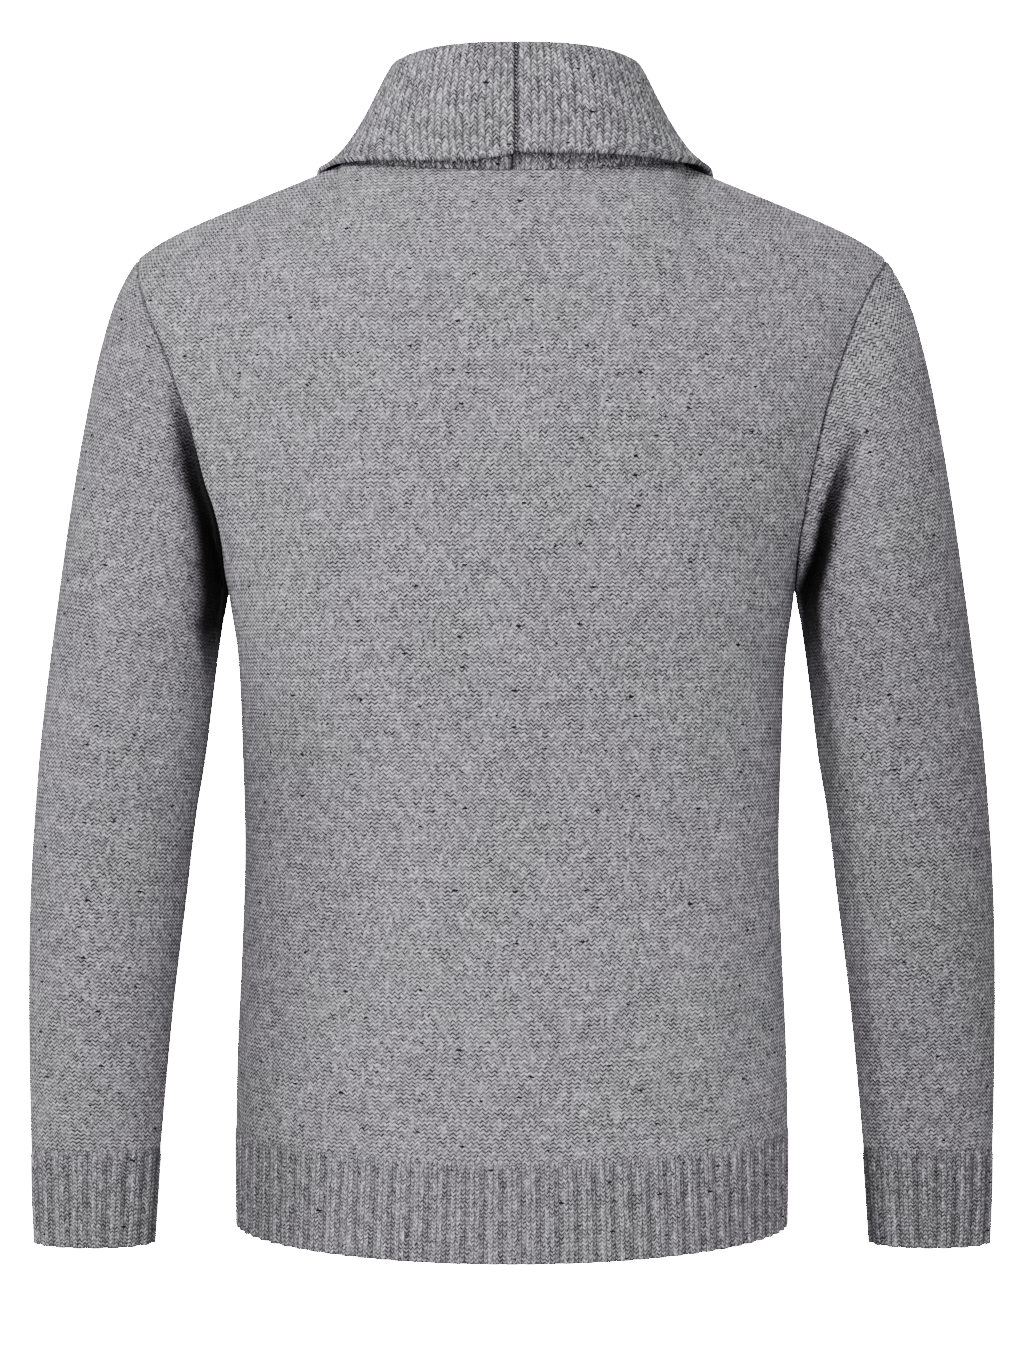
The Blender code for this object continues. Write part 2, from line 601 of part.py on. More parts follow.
def collar_guides(part, side):
    """Fold, edge, way outwards, roll and flare of the collar at parts of the neckline."""
    knots = [station.part for station in COLLAR]
    rows = spline(knots, COLLAR, part)
    edge_rows = spline(knots, COLLAR, np.interp(part, *EDGE_READ[side]))
    fold = lap(rows[:, 1:4], side)
    edge = lap(edge_rows[:, (4, 5, 7) if side < 0 else (4, 5, 6)], side)
    if side < 0:
        fold[:, 1] += TUCK * ease(part, *TUCK_FADES[:2]) * (1.0 - ease(part, *TUCK_FADES[2:]))
    angle = np.radians(rows[:, 8])
    way = np.stack((np.cos(angle), np.sin(angle), np.zeros(len(angle))), axis=1)
    grown = 1.0 - ease(part, *FOLD_FADES[side])
    edge = fold + (edge - fold) * grown[:, None]
    return fold, edge, way, rows[:, 9] * grown, rows[:, 10]


def stand_rise(start, fold, part):
    """The way in which the collar leaves the neckline."""
    lift = (STAND_LIFT * (1.0 - np.asarray(part)))[:, None] * np.array((0.0, 0.0, 1.0))
    return unit(unit(fold - start) + lift)


def collar_line(start, rise, fold, edge, way, roll, flare):
    """One section of the collar: up the stand, over the fold and down the fall."""
    stand = np.linalg.norm(fold - start)
    drop = edge - fold
    fall = np.linalg.norm(drop)
    end = drop / max(fall, 1e-6) + flare * way
    end /= max(np.linalg.norm(end), 1e-6)
    inside = bezier((start, start + COLLAR_FULL * stand * rise, fold - roll * way, fold))
    outside = bezier((fold, fold + roll * way, edge - COLLAR_FULL * fall * end, edge))
    return inside, outside


def collar_grid(half, parts, rows):
    """The collar's face, from its seam over the fold to its edge, and from CB to V."""
    neck = along(np.hstack((half.neck, half.neck_step, half.neck_gap, half.rise)), parts)
    outer, step, gap, rise = neck[:, 0:3], neck[:, 3:6], neck[:, 6:9], unit(neck[:, 9:12])
    guides = collar_guides(parts, half.side)
    columns = []
    even = np.linspace(0.0, 1.0, len(rows))
    for k, part in enumerate(parts):
        start = outer[k] - step[k] + gap[k]
        inside, outside = collar_line(start, rise[k], *(guide[k] for guide in guides))
        line = np.vstack((inside, outside[1:]))
        fold_at = line_parts(line)[len(inside) - 1]
        rolled = np.interp(rows, (0.0, 1.0, 2.0), (0.0, fold_at, 1.0))
        flat = ease(part, EVEN_FROM, 1.0)
        columns.append(along(line, (1.0 - flat) * rolled + flat * even))
    return np.stack(columns, axis=1), outer + gap, unit(step)


def finer(grid, steps=4):
    """A grid with more rows and columns, read along its straight edges."""
    rows, columns = grid.shape[:2]
    at = np.linspace(0, rows - 1, (rows - 1) * steps + 1)
    low = np.minimum(at.astype(int), rows - 2)
    grid = grid[low] + (grid[low + 1] - grid[low]) * (at - low)[:, None, None]
    at = np.linspace(0, columns - 1, (columns - 1) * steps + 1)
    low = np.minimum(at.astype(int), columns - 2)
    return grid[:, low] + (grid[:, low + 1] - grid[:, low]) * (at - low)[None, :, None]


def clear_of_body(points, half):
    """Lift what lies on the panels clear of them, square to their nearest points."""
    body = np.vstack([finer(grid).reshape(-1, 3) for grid in (half.front, half.back)])
    out = np.vstack([finer(grid).reshape(-1, 3) for grid in (half.front_out, half.back_out)])
    lifted = points.copy()
    for index in np.ndindex(points.shape[:2]):
        offset = points[index] - body
        nearest = np.argmin(np.sum(offset * offset, axis=1))
        short = FALL_CLEAR - offset[nearest] @ out[nearest]
        if short > 0.0:
            lifted[index] += short * out[nearest]
    return lifted


def collar_parts(half):
    """Places of the collar's columns along the neckline, with whole ribs between its corners."""
    lengths = np.linalg.norm(np.diff(half.neck, axis=0), axis=1)
    parts = []
    for length, start, end in zip(lengths, half.neck_part[:-1], half.neck_part[1:]):
        columns = RIB_STEPS * max(1, round(length / RIB_PITCH))
        parts.extend(np.linspace(start, end, columns, endpoint=False))
    return np.array(parts + [1.0])


def collar(half, name):
    """One half of the shawl collar."""
    parts = collar_parts(half)
    face, outer, step = collar_grid(half, parts, COLLAR_ROWS)
    folded = parts < FOLD_FADES[half.side][1] - UNFOLDED
    face[FALL_FROM_ROW:, folded] = clear_of_body(face[FALL_FROM_ROW:, folded], half)
    out = -normals(face)
    out[0] = -step
    back = face - out * RIB_WALL
    back[0] = outer
    face = face + out * rib_relief(face.shape[1])[:, None]
    for skin_points in (face, back):
        skin_points[:, 0, 0] = SEAM / 2
        skin_points[:, -1, 2] = V_POINT_Z + SEAM / 2
    wall(name, mirrored(face, half.side), mirrored(back[:, ::RIB_STEPS], half.side), RIB_GREY)


# ---------------------------------------------------------------- ribbed edges

def ribbed(name, face, out, side=1, wrap=False, flat_axis=None, coarse_rows=1):
    """A ribbed wall: ribs stand on the outer skin, the inner skin is plain and coarser."""
    step = out * RIB_WALL
    for row in (0, -1):
        step[row] = flatten(step[row], flat_axis, RIB_WALL)
    relief = rib_relief(face.shape[1])[:, None]
    outer = face + step / RIB_WALL * relief
    inner = (face - step)[::coarse_rows, ::RIB_STEPS]
    wall(name, mirrored(outer, side), mirrored(inner, side), RIB_GREY, wrap)


def hem_rows():
    """Table places of the hem rib's rows, from its lower edge up to the panels."""
    return np.linspace(0.0, RIB_TOP_ROW, HEM_ROWS)


def hem_back():
    """The back's hem rib, in one piece from side to side."""
    rows = []
    for row in spline(range(len(BACK)), BACK, hem_rows()):
        half_line = section(row)
        rows.append(np.vstack((mirrored(half_line[:0:-1], -1), half_line)))
    places = np.linspace(0.0, 1.0, HEM_BACK_RIBS * RIB_STEPS + 1)
    face = np.array([along(row, places) for row in rows])
    out = normals(face)
    for column in (0, -1):
        out[:, column] = flatten(out[:, column], 1, 1.0)
        face[:, column, 1] += SEAM / 2
    face[-1, :, 2] -= SEAM / 2
    ribbed("hem_rib_back", face, out, flat_axis=2)


def hem_front(name, side):
    """The hem rib of one front, from its band to the side seam."""
    columns = HEM_FRONT_RIBS * RIB_STEPS
    rows = spline(range(len(FRONT)), FRONT, hem_rows())
    face = lap(np.array([front_line(row, columns) for row in rows]), side)
    out = -normals(face)
    out[:, -1] = flatten(out[:, -1], 1, 1.0)
    out[:, 0] = flatten(out[:, 0], 0, 1.0)
    face[:, -1, 1] -= SEAM / 2
    face[:, 0, 0] += SEAM / 2
    face[-1, :, 2] -= SEAM / 2
    ribbed(name, face, out, side, flat_axis=2)


def cuff(name, side):
    """A ribbed cuff."""
    full_turn = np.linspace(0.0, 2 * math.pi, CUFF_TURNS + 1)
    places = np.linspace(0.0, 1.0, CUFF_RIBS * RIB_STEPS + 1)
    face = np.array([along(ring_points(ring, full_turn), places)[:-1] for ring in CUFF])
    out = normals(face, wrap=True)
    face[0, :, 2] -= SEAM / 2
    ribbed(name, face, out, side, wrap=True, flat_axis=2)


def band(half, name):
    """A front band, with its ribs across it, from the V point down to the hem."""
    hem = lap(front_line(FRONT[0], 4)[:1], half.side)
    seam = np.vstack((half.front[:half.v_point + 1, 0][::-1], hem))
    ribs = round((V_POINT_Z - FRONT[0].mid_z) / RIB_PITCH)
    line = along(seam, np.linspace(0.0, 1.0, ribs * RIB_STEPS + 1))
    across = np.array((0.0, 0.5, 1.0))
    face = line[None] - across[:, None, None] * np.array((BAND_WIDTH, 0.0, 0.0))
    out = np.zeros_like(face)
    out[..., 1] = -1.0
    face[0, :, 0] -= SEAM / 2
    face[:, 0, 2] = V_POINT_Z - SEAM / 2
    ribbed(name, face, out, half.side, flat_axis=0, coarse_rows=2)
    return line


# ---------------------------------------------------------------- buttons

def button(name, centre):
    """A turned button with a raised rim, lying on the left band and facing forward."""
    mesh = bmesh.new()
    verts = [mesh.verts.new((at.radius * BUTTON_RADIUS, 0.0, at.height * BUTTON_THICK))
             for at in BUTTON_PROFILE]
    for one, two in zip(verts[:-1], verts[1:]):
        mesh.edges.new((one, two))
    piece = solid(name, mesh, BUTTON_GREY, 0.35)
    turn = piece.modifiers.new("turn", "SCREW")
    turn.steps = turn.render_steps = BUTTON_STEPS
    turn.use_merge_vertices = True
    turn.merge_threshold = 0.00001
    piece.rotation_euler = (math.radians(90), 0.0, 0.0)
    piece.location = centre


def buttons(line):
    """Buttons down the middle of the left band, each seated on the ribs under its foot."""
    down = line[::-1]
    foot = BUTTON_RADIUS * BUTTON_PROFILE[-2].radius
    for k, z in enumerate(np.linspace(BUTTON_TOP_Z, BUTTON_LOW_Z, BUTTON_COUNT)):
        under = np.linspace(z - foot, z + foot, 2 * RIB_STEPS + 1)
        seat = np.interp(under, down[:, 2], down[:, 1]).min()
        button(f"button_{k + 1}", (0.0, seat - RIB_TOP - SEAM, z))


# ---------------------------------------------------------------- the garment

def panels(halves):
    """Back, fronts and sleeves."""
    left = halves[1]
    face = left.back + left.back_gap
    inner = face - left.back_step
    full = [np.concatenate((mirrored(grid[:, :0:-1], -1), grid), axis=1) for grid in (face, inner)]
    wall("back", *full, GREY)
    for side, word in ((1, "left"), (-1, "right")):
        half = halves[side]
        face = half.front + half.front_gap
        inner = face - half.front_step
        wall(f"front_{word}", mirrored(face, side), mirrored(inner, side), GREY)
        face = half.sleeve + half.sleeve_gap
        inner = face - half.sleeve_step
        wall(f"sleeve_{word}", mirrored(face, side), mirrored(inner, side), GREY, wrap=True)


def main():
    for item in list(bpy.data.objects):
        bpy.data.objects.remove(item, do_unlink=True)
    bpy.context.scene.collection.children.link(bpy.data.collections.new(OBJECT))
    halves = {side: Half(side) for side in (1, -1)}
    panels(halves)
    hem_back()
    for side, word in ((1, "left"), (-1, "right")):
        hem_front(f"hem_rib_{word}", side)
        cuff(f"cuff_{word}", side)
        collar(halves[side], f"collar_{word}")
    band(halves[-1], "band_right")
    buttons(band(halves[1], "band_left"))


main()
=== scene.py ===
"""Looks of a shawl collar cardigan in heavy grey flecked knit, filled out as worn.

Metres, +Z up.  The front faces -Y and the wearer's left is +X.  The origin is at the
base of the neck.  Each piece is a thin shell on the form of its solid: a flat grid
whose points are moved on to sections worked out from short tables.  Where a table has
a row for each side, 1 is the left and -1 the right.
"""

import math
from collections import namedtuple

import bmesh
import bpy
import numpy as np
from mathutils import Matrix, Vector


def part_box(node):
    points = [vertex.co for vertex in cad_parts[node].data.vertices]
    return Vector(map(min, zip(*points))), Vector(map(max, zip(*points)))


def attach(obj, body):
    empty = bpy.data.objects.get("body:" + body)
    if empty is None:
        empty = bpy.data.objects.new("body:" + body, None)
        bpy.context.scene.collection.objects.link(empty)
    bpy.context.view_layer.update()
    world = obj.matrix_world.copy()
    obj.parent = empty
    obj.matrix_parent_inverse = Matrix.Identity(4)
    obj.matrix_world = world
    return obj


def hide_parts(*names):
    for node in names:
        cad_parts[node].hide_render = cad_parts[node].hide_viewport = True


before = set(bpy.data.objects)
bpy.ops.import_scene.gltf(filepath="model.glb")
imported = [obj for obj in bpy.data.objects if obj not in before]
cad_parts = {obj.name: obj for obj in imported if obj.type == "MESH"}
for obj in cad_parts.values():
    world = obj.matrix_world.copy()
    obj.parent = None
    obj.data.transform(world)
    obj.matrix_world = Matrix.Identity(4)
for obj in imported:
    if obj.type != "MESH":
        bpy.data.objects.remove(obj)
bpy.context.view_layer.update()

# Cloth and seams
WALL = 0.0026
RIB_WALL = 0.003
GRAIN = 0.0045           # spacing of the rows of a body panel's grid below the underarm
CHEST_GRAIN = 0.75 * GRAIN
SLEEVE_GRAIN = 0.0042
BACK_COLUMNS = (48, 0.235)       # columns of half the back, and about how wide it is
FRONT_COLUMNS = (42, 0.215)
YOKE_ROWS = (24, 0.115)          # rows of the yoke, and about how high it is
SEAM_DIP = 0.0012        # cloth turns in by this much where it is sewn
SEAM_TURN = 0.0028       # over this last stretch before the seam
SEAM_PLACES = (0.0004, 0.0009, 0.0015, 0.0022, 0.0032)
CLOSEST = 0.3 * SEAM_PLACES[0]   # places nearer than this to the last one are left out
SEAM_ALLOWANCE = 0.002   # a sleeve's edge lies this far under the body
SEAM_UNDER = 0.0014      # and this deep
SEAM_DARK = 0.62         # painted shade at a seam
MITRE_MOST = 1.3         # where two walls meet at a corner, a step grows to at most this
RIB_PITCH = 0.0113
CLOTH_STEP = 60 * RIB_PITCH      # from one piece's cloth places to the next piece's
LEVEL_COURSES = (-0.36, -0.24)   # the panels' courses turn level between these heights
FRONT_FROM = 0.02        # a front's first column lies this far from the centre line

# Stitches that link two pieces
SEAM_BEAD = 0.0011
STITCH_STEP = 0.0026
STITCH_LEANS = (math.radians(38) * 0.8, math.radians(38))
NECK_STITCH = (0.0022, 0.001, 0.0009)        # length, width and height of a stitch
COLLAR_STITCH = (0.0022, 0.0009, 0.0009)

# Front fastening
BAND_WIDTH = 0.04
BAND_COLUMNS = 13
BAND_RELIEF = 0.8        # the bands' ribs are this much as high as the hem's
OVERLAP = 0.0054
TUCK = 0.003             # the right lapel is tucked in behind the left one
TUCK_FADES = (0.7, 0.86, 0.93, 1.0)
LAP_FADES_X = (0.035, 0.1)
LAP_FADES_Z = (-0.13, -0.04)
V_POINT_Z = -0.205
BUTTON_COUNT = 5
RIM_SIDES, HOLE_SIDES = 56, 14
RIM_INSIDE = 0.76        # part of the button's radius
BUTTON_PROFILE = ((0.81, 0.07), (0.87, 0.0), (0.93, 0.03), (0.98, 0.14), (1.0, 0.32),
                  (1.0, 0.62), (0.96, 0.82), (0.88, 0.95), (0.78, 1.0))   # radius and depth
DISH = 0.0009
HOLE_APART = 0.0046
HOLE_RADIUS = 0.001
HOLE_BEYOND = 0.0022     # a buttonhole reaches this far past its button at each side
HOLE_OPEN = 0.0011
HOLE_STEP = 0.0012
HOLE_TURNS = 49
THREAD = 0.0007
THREAD_RISE = 0.0008     # the thread bows out by this much
THREAD_DEEP = 0.0008     # its ends lie this deep in the holes
THREAD_STEPS = 9
STRANDS_APART = 0.8 * THREAD
STRANDS_SPREAD = 0.3 * THREAD
SHARP = math.radians(50)

# Neck and shoulders
NECK_HALF = 0.108
NECK_BACK_Y = 0.075
NECK_BACK_Z = -0.004
SHOULDER_Z = 0.0065
SHOULDER_Y = -0.002
SHOULDER_TIP_X = 0.2365
SHOULDER_TIP_Y = -0.004
SHOULDER_SLOPE = 0.405
SHOULDER_TIP_DROP = 0.0075
SHOULDER_TIP_CURVE = 8
ARRIVES_AT_NECK = (0.0, -0.55, 0.85)
ARRIVES_AT_SHOULDER = (0.0, -1.0, 0.12)
FRONT_ARRIVES = (0.0, 1.0, 0.12)
FRONT_ARRIVES_AT_NECK = (0.1, 0.9, 0.45)
NECK_SHARE = 0.5         # this part of the back's columns ends at the neck
FRONT_NECK_SHARE = 0.11

# Sections of the body, from the hem up
MID_FULL = 0.58          # how straight a section runs on from its middle
SIDE_TILT = 0.35         # how much of its slope it keeps at its side
YOKE_FROM = 1.2          # the yoke carries on the way of the last fifth of a row
SECTION_STEPS = 161
RIB_TOP_ROW = 1
UNDERARM_ROW = 7


def table(kind, *rows):
    """Rows of numbers under the names of their columns."""
    return tuple(kind(*row) for row in rows)


Row = namedtuple("Row", "side_z side_x side_y mid_z mid_y turn full")
BACK = table(
    Row,
    (-0.661, 0.174, -0.012, -0.673, 0.113, 90, 0.34),
    (-0.597, 0.1738, 0, -0.611, 0.113, 90, 0.34),
    (-0.551, 0.1729, 0, -0.563, 0.112, 90, 0.34),
    (-0.488, 0.1701, 0, -0.497, 0.105, 90, 0.34),
    (-0.425, 0.1682, 0, -0.431, 0.099, 90, 0.34),
    (-0.362, 0.1698, 0, -0.365, 0.102, 90, 0.352),
    (-0.3, 0.1729, 0, -0.3, 0.11, 90, 0.387),
    (-0.262, 0.178, 0, -0.26, 0.115, 90, 0.396),
    (-0.2585, 0.1778, 0.014, -0.252, 0.116, 86, 0.337),
    (-0.248, 0.1777, 0.028, -0.238, 0.1175, 79, 0.29),
    (-0.233, 0.1779, 0.04, -0.221, 0.119, 70, 0.263),
    (-0.215, 0.1803, 0.05, -0.202, 0.1205, 61, 0.224),
    (-0.196, 0.186, 0.056, -0.179, 0.121, 53, 0.191),
    (-0.176, 0.1915, 0.0595, -0.154, 0.12, 47, 0.19),
    (-0.156, 0.1973, 0.06, -0.128, 0.117, 42, 0.227),
    (-0.135, 0.204, 0.058, -0.1, 0.112, 38, 0.22),
)
FRONT = table(
    Row,
    (-0.661, 0.174, -0.012, -0.664, -0.115, 90, 0.34),
    (-0.597, 0.1738, 0, -0.6, -0.116, 90, 0.34),
    (-0.551, 0.1729, 0, -0.554, -0.117, 90, 0.34),
    (-0.488, 0.1701, 0, -0.49, -0.117, 90, 0.34),
    (-0.425, 0.1682, 0, -0.427, -0.116, 90, 0.34),
    (-0.362, 0.1698, 0, -0.363, -0.119, 90, 0.352),
    (-0.3, 0.1729, 0, -0.3, -0.124, 90, 0.387),
    (-0.262, 0.178, 0, -0.262, -0.127, 90, 0.378),
    (-0.2585, 0.1779, -0.013, -0.25, -0.128, 86, 0.328),
    (-0.248, 0.178, -0.026, -0.235, -0.129, 79, 0.287),
    (-0.233, 0.1785, -0.038, -0.22, -0.129, 70, 0.253),
    (-0.215, 0.18, -0.047, -0.205, -0.1285, 61, 0.224),
    (-0.196, 0.1838, -0.053, -0.18, -0.1275, 53, 0.193),
    (-0.176, 0.1885, -0.0565, -0.154, -0.125, 47, 0.186),
    (-0.156, 0.1945, -0.0575, -0.128, -0.121, 42, 0.229),
    (-0.135, 0.202, -0.0565, -0.1, -0.115, 38, 0.22),
)

# Rings of the sleeves and cuffs, from the shoulder down
Ring = namedtuple("Ring", "out_x out_z in_x in_z depth mid_y crease hang", defaults=(0, 0))
SLEEVE = table(
    Ring,
    (0.2365, -0.053, 0.178, -0.262, 0.06, 0),
    (0.243, -0.064, 0.1783, -0.264, 0.0603, 0, 0.003),
    (0.249, -0.077, 0.1786, -0.2665, 0.0605, 0.001, 0.006),
    (0.259, -0.11, 0.1797, -0.2725, 0.0605, 0.001, 0.001),
    (0.2685, -0.155, 0.1815, -0.281, 0.06, 0.001),
    (0.277, -0.205, 0.1835, -0.294, 0.0595, 0.001),
    (0.284, -0.255, 0.186, -0.313, 0.0585, 0.002),
    (0.2905, -0.305, 0.189, -0.338, 0.057, 0.003),
    (0.2958, -0.35, 0.1925, -0.367, 0.0555, 0.004),
    (0.3, -0.399, 0.198, -0.4, 0.053, 0.003),
    (0.3035, -0.457, 0.205, -0.457, 0.049, 0),
    (0.305, -0.52, 0.213, -0.52, 0.042, -0.006),
    (0.3052, -0.578, 0.219, -0.578, 0.033, -0.014),
    (0.3049, -0.614, 0.2224, -0.614, 0.027, -0.019),
)
CUFF = table(
    Ring,
    (0.3049, -0.614, 0.2224, -0.614, 0.027, -0.019),
    (0.3047, -0.645, 0.2246, -0.645, 0.0245, -0.022, 0, 0.0005),
    (0.3037, -0.675, 0.2268, -0.675, 0.022, -0.025, 0, 0.002),
)
EVEN_RING = 8            # from this ring down the columns are evenly spaced
ARMHOLE_BLEND = (1.0, 0.8, 0.55, 0.25, 0.08)   # how much of the armhole's form each ring keeps
CREASE_GROWS = (-0.15, 0.35)     # the dent below the underarm deepens toward the inner side
GRAIN_SPAN = (-0.1, 0.75)        # how the sleeve's courses lean, in degrees, at each drop
GRAIN_DROPS = (0.05, 0.1, 0.14, 0.19, 0.23, 0.27, 0.32, 0.36, 0.45, 0.6)
GRAIN_LEANS = (33, 26, 20.5, 16.5, 13, 10.5, 7.3, 5.6, 4.5, 2)
GRAIN_ENDS_X = 0.315
GRAIN_STEPS = 200
SLEEVE_LEVELS = 600

# Collar, by the part of the neckline from the centre back to the V point
Station = namedtuple("Station", "part fold_x fold_y fold_z edge_x edge_y edge_z"
                                " edge_z_right out roll flare")
COLLAR = table(
    Station,
    (0, 0, 0.06, 0.0767, 0, 0.083, 0.006, 0.0068, 90, 0.012, 0.15),
    (0.09, 0.027, 0.0575, 0.0763, 0.032, 0.081, 0.002, 0.0066, 78, 0.012, 0.15),
    (0.19, 0.054, 0.044, 0.0745, 0.068, 0.0705, 0.0035, 0.007, 50, 0.011, 0.25),
    (0.27, 0.07, 0.024, 0.0715, 0.101, 0.048, 0.0058, 0.0058, 25, 0.01, 0.5),
    (0.35, 0.074, 0, 0.069, 0.122, 0.002, 0.0056, 0.0056, 0, 0.009, 0.8),
    (0.45, 0.0637, -0.038, 0.038, 0.127, -0.041, -0.013, -0.013, -30, 0.009, 0.6),
    (0.58, 0.0486, -0.082, -0.005, 0.122, -0.088, -0.062, -0.062, -60, 0.009, 0.3),
    (0.73, 0.0246, -0.117, -0.075, 0.098, -0.117, -0.118, -0.118, -80, 0.008, 0.1),
    (0.88, 0.0005, -0.1262, -0.143, 0.045, -0.135, -0.166, -0.166, -90, 0.006, 0),
    (0.94, -0.0098, -0.1262, -0.174, 0.012, -0.131, -0.188, -0.188, -90, 0.003, 0),
    (1.0, -0.02, -0.1258, -0.205, -0.02, -0.1258, -0.205, -0.205, -90, 0, 0),
)
COLLAR_ROWS = 44
COLLAR_FULL = 0.35       # how round its sections are
STAND_LIFT = 0.4         # how much more upright it stands at the centre back
UNFOLDED = 0.04          # the last part of the fall isn't lifted
EVEN_FROM = 0.8          # the rows are even at the V point, and start to be here
FALL_CLEAR = 0.0044      # the collar's fall lies this far above the body
CLEAR_FADES = (0.01, 0.018)
CLEAR_BELOW_V = 0.02
FOLD_FADES = {1: (0.92, 1.0), -1: (0.86, 0.895)}
EDGE_READ = {1: ((0.0, 1.0), (0.0, 1.0)), -1: ((0.0, 0.73, 0.86, 1.0), (0.0, 0.73, 0.915, 1.0))}
EDGE_BEAD = 0.0026       # its outer edge turns over in a round bead
BEAD_HEIGHT = 0.0007
BEAD_SMOOTH = (0.6 * EDGE_BEAD, 2.0 * EDGE_BEAD)
END_OF_BEAD = (0.86, 0.94)
SEAM_PLAIN = (0.0035, 0.0091)    # cloth beside the seam at the centre back has no ribs
# Painted shade along the collar's centre back seam: how far it reaches, how it fades from the stand to
# the fall, how much is on the stand, and how dark it is
COLLAR_SEAM_SHADE = (0.001, 0.0022)
SEAM_SHADE_FADES = (0.85, 1.1)
SEAM_SHADE_ON_STAND = 0.35           # the seam's painted shadow is full on the fall alone
COLLAR_SEAM_DARK = 0.85
FOLD_SMOOTH, FOLD_ROUND = 0.65, 0.22
EDGE_SPREAD = 0.85       # how far the ribs spread at the outer edge, as part of the fold's spread
EDGE_SPREAD_FADES = (0.35, 0.6)
COLLAR_HANG = -0.0026    # the collar lies this far to the right of the middle
COLLAR_HANG_FADES = (0.3, 0.6)

# Ribs
RIB_COLUMNS = 10         # columns of the grid to a rib
RIB_PROFILE = (-0.0011, -0.001, -0.0005, 0.0005, 0.0006, 0.0004, 0.0006, 0.0005, -0.0005, -0.001)
RIB_STARTS = 0.005       # ribs rise from the plain knitting over about this length,
RIB_LATE = 0.003         # some of them later by up to this much
HEM_ROWS = 26
CUFF_TURNS = 241
COLLAR_RELIEF = 0.2      # the collar's ribs are this much as high as the hem's

# Folds beside the underarms: height, place off the seam, reach toward it and away, depth, painted shade
ARMPIT_BACK = {
    1: (
        (-0.12, 0.002, 0.002, 0.003, 0, 0),
        (-0.136, 0.0022, 0.0022, 0.006, 0.001, 0.25),
        (-0.15, 0.0028, 0.0026, 0.01, 0.006, 0.7),
        (-0.173, 0.0036, 0.0034, 0.015, 0.012, 0.93),
        (-0.194, 0.0045, 0.0042, 0.018, 0.016, 0.98),
        (-0.225, 0.006, 0.0055, 0.021, 0.02, 1.0),
        (-0.255, 0.006, 0.0055, 0.0205, 0.021, 1.0),
        (-0.285, 0.005, 0.006, 0.018, 0.016, 0.98),
        (-0.303, 0.003, 0.006, 0.012, 0.008, 0.8),
        (-0.325, 0.001, 0.006, 0.008, 0.003, 0.3),
        (-0.36, 0, 0.006, 0.008, 0.001, 0),
        (-0.61, 0, 0.006, 0.008, 0, 0),
    ),
    -1: (
        (-0.15, 0.019, 0.004, 0.004, 0, 0),
        (-0.163, 0.0185, 0.0055, 0.006, 0.002, 0.3),
        (-0.178, 0.0172, 0.006, 0.011, 0.007, 0.55),
        (-0.197, 0.0166, 0.007, 0.012, 0.014, 0.8),
        (-0.216, 0.0161, 0.0085, 0.0135, 0.018, 0.94),
        (-0.234, 0.0156, 0.009, 0.013, 0.02, 0.99),
        (-0.253, 0.0112, 0.012, 0.0145, 0.019, 1.0),
        (-0.263, 0.0088, 0.013, 0.0145, 0.017, 1.0),
        (-0.272, 0.0065, 0.008, 0.013, 0.015, 0.98),
        (-0.291, 0.004, 0.008, 0.013, 0.01, 0.92),
        (-0.31, 0.003, 0.008, 0.015, 0.006, 0.8),
        (-0.345, 0.0015, 0.006, 0.02, 0.003, 0.62),
        (-0.42, 0, 0.006, 0.026, 0.001, 0.48),
        (-0.61, 0, 0.006, 0.026, 0, 0.48),
    ),
}
ARMPIT_FRONT = (
    (-0.13, 0.006, 0.006, 0.006, 0, 0),
    (-0.165, 0.007, 0.006, 0.012, 0.006, 0.55),
    (-0.205, 0.008, 0.0065, 0.018, 0.013, 0.85),
    (-0.25, 0.007, 0.0065, 0.02, 0.017, 0.92),
    (-0.29, 0.005, 0.006, 0.018, 0.011, 0.88),
    (-0.345, 0.001, 0.006, 0.013, 0.003, 0.6),
    (-0.61, 0, 0.006, 0.011, 0, 0.4),
)
BELOW_UNDERARM = 0.001
FOLD_FACES = (0.0, 0.3)          # a fold is pressed in where the sleeve faces back or forwards
SHADOW_FACES = (-0.45, 0.05)
SHADOW_FADES = (0.35, 1.0)
ARMPIT_SHADOW_REACH = 1.25
# The armhole seams at the back hang to the left: height, move to the left, move outwards
ARMHOLE_HANG = (
    (-0.052, 0, 0), (-0.068, 0.0034, 0), (-0.09, 0.0054, 0), (-0.119, 0.0048, 0),
    (-0.139, 0.0047, 0), (-0.159, 0.0038, 0.0002), (-0.178, 0.0034, 0.0012), (-0.198, 0.003, 0.0022),
    (-0.216, 0.0014, 0.0032), (-0.236, 0.0012, 0.002), (-0.262, 0.001, 0.0003), (-0.29, 0, 0),
)
HANG_REACH = 0.027
HANG_FACES = (0.0, 0.03)

# Painted shade: where one piece hangs over another, and down each sleeve, most on the right one
CUFF_SHADE = {1: 0.4, -1: 0.72}
CUFF_SHADE_FACES = (0.72, 1.0)
SIDE_SHADE = {1: 0.42, -1: 0.0}
SIDE_SHADE_REACH = (0.03, 0.16)
SIDE_SHADE_DOWN = (0.28, 0.38)
SLEEVE_SHADE = {1: 0.12, -1: 0.26}
SLEEVE_SHADE_FROM = {1: (0.02, 0.12), -1: (0.08, 0.32)}

